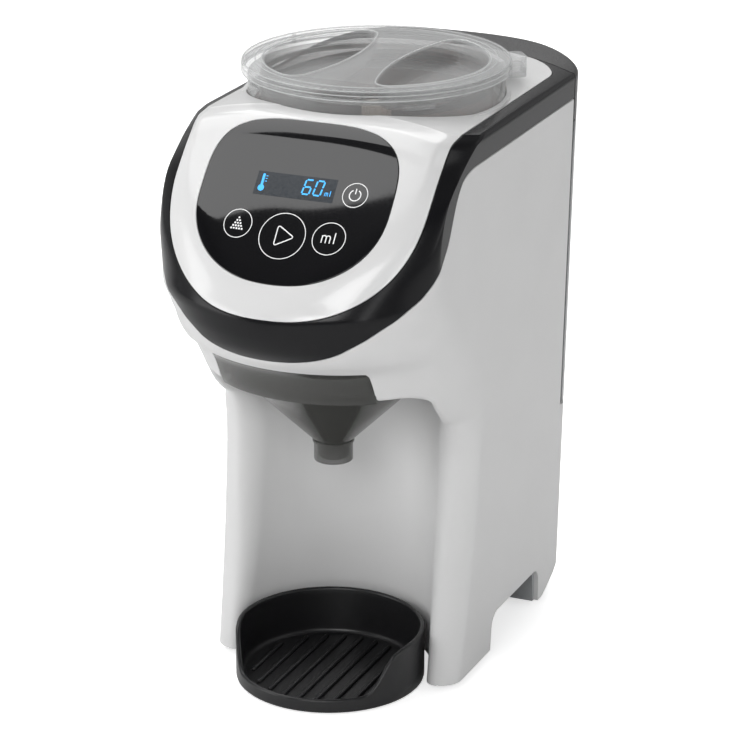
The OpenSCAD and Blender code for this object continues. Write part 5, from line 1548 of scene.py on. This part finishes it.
class FORMULA_OT_tank(Operator):
    """Builds the translucent water tank with its neck and inner step"""

    bl_idname = "formula.tank"
    bl_label = "Water tank"

    def execute(self, context):
        f, _ = body()
        m = finishes()["smoke_tank"]
        y, low, top, wall = f.seam_back + 2 * f.seam, 104.4, 254.8, 2.2
        rings = []

        def add(inset, z):
            rings.append(tank_ring(f, inset, z, y + inset))

        for a in np.linspace(0, math.pi / 2, 5):
            add(1.8 - 1.8 * math.sin(a), low + 1.8 - 1.8 * math.cos(a))
        for z in np.linspace(low + 1.8, top - 0.6, 8)[1:]:
            add(0, z)
        add(0.2, top - 0.15)
        add(0.6, top)
        add(2.6, top)
        add(2.6, top + 6)
        add(3.0, top + 6.5)
        add(4.2, top + 6.5)
        add(4.6, top + 6)
        add(4.6, top - 3)
        add(wall, top - 6)
        add(wall, low + wall + 1.5)
        add(wall + 1.5, low + wall)
        shell = loft("tank_shell", rings, m)
        step = box("tank_step", (-64, y - 14, 107.4), (64, y + 1.2, 242.4), m, 2.5)
        seat(join("water_tank_smoked", [shell, step]), "tank", ["water_tank"])
        return {"FINISHED"}


class FORMULA_OT_carried(Operator):
    """Gives the carried-over nodes their materials"""

    bl_idname = "formula.carried"
    bl_label = "Inner pieces"

    def execute(self, context):
        paint = finishes()
        slots = {row["node"]: row["material_slot"] for row in frame["record"]["subparts"]}
        for name, obj in frame["nodes"].items():
            finish = paint[slots.get(name, "grey_moulding")]
            obj.data.materials.clear()
            obj.data.materials.append(finish)
        return {"FINISHED"}


# ---- stage ----------------------------------------------------------------------------------


def direct_view(nodes, links):
    """One for rays from the camera, straight or through glass, and zero for the others."""
    path, either = nodes.new("ShaderNodeLightPath"), nodes.new("ShaderNodeMath")
    either.operation = "MAXIMUM"
    links.new(path.outputs["Is Camera Ray"], either.inputs[0])
    links.new(path.outputs["Is Transmission Ray"], either.inputs[1])
    return either.outputs[0]


class FORMULA_OT_stage(Operator):
    """Sets the pale floor, the soft lamps and the camera"""

    bl_idname = "formula.stage"
    bl_label = "Stage"

    def execute(self, context):
        scene = context.scene
        scene.view_settings.view_transform = "Standard"
        bpy.ops.mesh.primitive_plane_add(size=30, location=(0, 0, -0.0005))
        floor = context.active_object
        floor.name = "floor"
        m = bpy.data.materials.new("pale_floor")
        m.use_nodes = True
        nodes, links = m.node_tree.nodes, m.node_tree.links
        shader = nodes["Principled BSDF"]
        shader.inputs["Base Color"].default_value = (0.9, 0.9, 0.9, 1)
        shader.inputs["Roughness"].default_value = 0.7
        shader.inputs["Specular IOR Level"].default_value = 0.1
        glow = nodes.new("ShaderNodeMath")
        glow.operation = "MULTIPLY"
        glow.inputs[1].default_value = 0.62
        links.new(direct_view(nodes, links), glow.inputs[0])
        shader.inputs["Emission Color"].default_value = (1, 1, 1, 1)
        links.new(glow.outputs[0], shader.inputs["Emission Strength"])
        floor.data.materials.append(m)

        world = bpy.data.worlds.new("studio")
        world.use_nodes = True
        scene.world = world
        nodes, links = world.node_tree.nodes, world.node_tree.links
        nodes.clear()
        out = nodes.new("ShaderNodeOutputWorld")
        soft, seen = nodes.new("ShaderNodeBackground"), nodes.new("ShaderNodeBackground")
        way, height = nodes.new("ShaderNodeTexCoord"), nodes.new("ShaderNodeSeparateXYZ")
        links.new(way.outputs["Generated"], height.inputs[0])
        glow = nodes.new("ShaderNodeValToRGB")
        for k, (at, value) in enumerate(((0.0, 0.5), (0.30, 0.5), (0.62, 0.07), (1.0, 0.3))):
            stop = glow.color_ramp.elements[k] if k < 2 else glow.color_ramp.elements.new(at)
            stop.position, stop.color = at, (value, value, value, 1)
        links.new(height.outputs["Z"], glow.inputs["Fac"])
        links.new(glow.outputs["Color"], soft.inputs["Color"])
        # The room is darker in front of the object
        ahead = nodes.new("ShaderNodeMapRange")
        ahead.inputs["From Min"].default_value, ahead.inputs["From Max"].default_value = -0.9, -0.1
        ahead.inputs["To Min"].default_value, ahead.inputs["To Max"].default_value = 0.3, 1.0
        links.new(height.outputs["Y"], ahead.inputs["Value"])
        links.new(ahead.outputs["Result"], soft.inputs["Strength"])
        seen.inputs["Color"].default_value = (1, 1, 1, 1)
        seen.inputs["Strength"].default_value = 1.0
        mix = nodes.new("ShaderNodeMixShader")
        links.new(direct_view(nodes, links), mix.inputs[0])
        links.new(soft.outputs[0], mix.inputs[1])
        links.new(seen.outputs[0], mix.inputs[2])
        links.new(mix.outputs[0], out.inputs["Surface"])

        def lamp(name, place, target, size, power):
            """A soft rectangular lamp aimed at a point."""
            data = bpy.data.lights.new(name, "AREA")
            data.shape = "RECTANGLE"
            data.size, data.size_y = size
            data.energy = power
            obj = bpy.data.objects.new(name, data)
            scene.collection.objects.link(obj)
            obj.location = place
            aim = Vector(target) - Vector(place)
            obj.rotation_mode = "QUATERNION"
            obj.rotation_quaternion = aim.to_track_quat("-Z", "Y")

        lamp("top_lamp", (-1.0, 0.02, 1.9), (-1.0, 0.021, 0), (1.8, 2.0), 25)
        lamp("left_lamp", (-1.7, -1.3, 0.6), (0, 0, 0.15), (1.2, 1.2), 12)
        lamp("front_lamp", (0.25, -2.1, 1.25), (0, 0, 0.12), (1.1, 0.9), 18)
        lamp("side_lamp", (1.9, 0.1, 0.9), (0, 0, 0.15), (1.2, 1.4), 7.5)
        lamp("rear_lamp", (-0.5, 1.2, 1.6), (0, 0, 0.25), (1.2, 1.2), 12)
        lamp("strip_lamp", (1.2, -1.5, 0.7), (0, 0, 0.2), (0.16, 1.2), 2.5)

        data = bpy.data.cameras.new("view_camera")
        data.lens, data.sensor_width = 159.6, 36
        data.clip_start, data.clip_end = 0.05, 60
        cam = bpy.data.objects.new("view_camera", data)
        scene.collection.objects.link(cam)
        cam.location = (0.6053, -1.3979, 0.6891)
        aim = Vector((0.0094, -0.016, 0.1506)) - cam.location
        cam.rotation_mode = "QUATERNION"
        cam.rotation_quaternion = aim.to_track_quat("-Z", "Y")
        scene.camera = cam
        return {"FINISHED"}


class FORMULA_PT_panel(Panel):
    """Lists the formula maker's pieces"""

    bl_idname = "FORMULA_PT_panel"
    bl_label = "Formula maker"
    bl_space_type = "VIEW_3D"
    bl_region_type = "UI"
    bl_category = "Formula maker"

    def draw(self, context):
        for step in STEPS:
            self.layout.operator(step.bl_idname)
        for group in ("formula_body", "formula_bay", "formula_hopper", "formula_colours"):
            held = getattr(context.scene, group)
            for key in held.__annotations__:
                self.layout.prop(held, key)


GROUPS = {"formula_body": FormulaBodySizes, "formula_bay": FormulaBaySizes,
          "formula_hopper": FormulaHopperSizes, "formula_colours": FormulaColours}
STEPS = [FORMULA_OT_stage, FORMULA_OT_carried, FORMULA_OT_casing, FORMULA_OT_band,
         FORMULA_OT_cover, FORMULA_OT_glass, FORMULA_OT_tank_lid, FORMULA_OT_tank,
         FORMULA_OT_hopper, FORMULA_OT_lid, FORMULA_OT_funnel, FORMULA_OT_tray]


def register():
    """Registers the sizes, the operators and the panel."""
    for name, group in GROUPS.items():
        bpy.utils.register_class(group)
        setattr(bpy.types.Scene, name, PointerProperty(type=group))
    for step in [*STEPS, FORMULA_PT_panel]:
        bpy.utils.register_class(step)


def unregister():
    """Takes them out again."""
    for step in reversed([*STEPS, FORMULA_PT_panel]):
        bpy.utils.unregister_class(step)
    for name, group in reversed(list(GROUPS.items())):
        delattr(bpy.types.Scene, name)
        bpy.utils.unregister_class(group)


def main():
    """Builds every piece in order."""
    register()
    for step in STEPS:
        section, name = step.bl_idname.split(".")
        getattr(getattr(bpy.ops, section), name)()


if __name__ == "__main__":
    main()
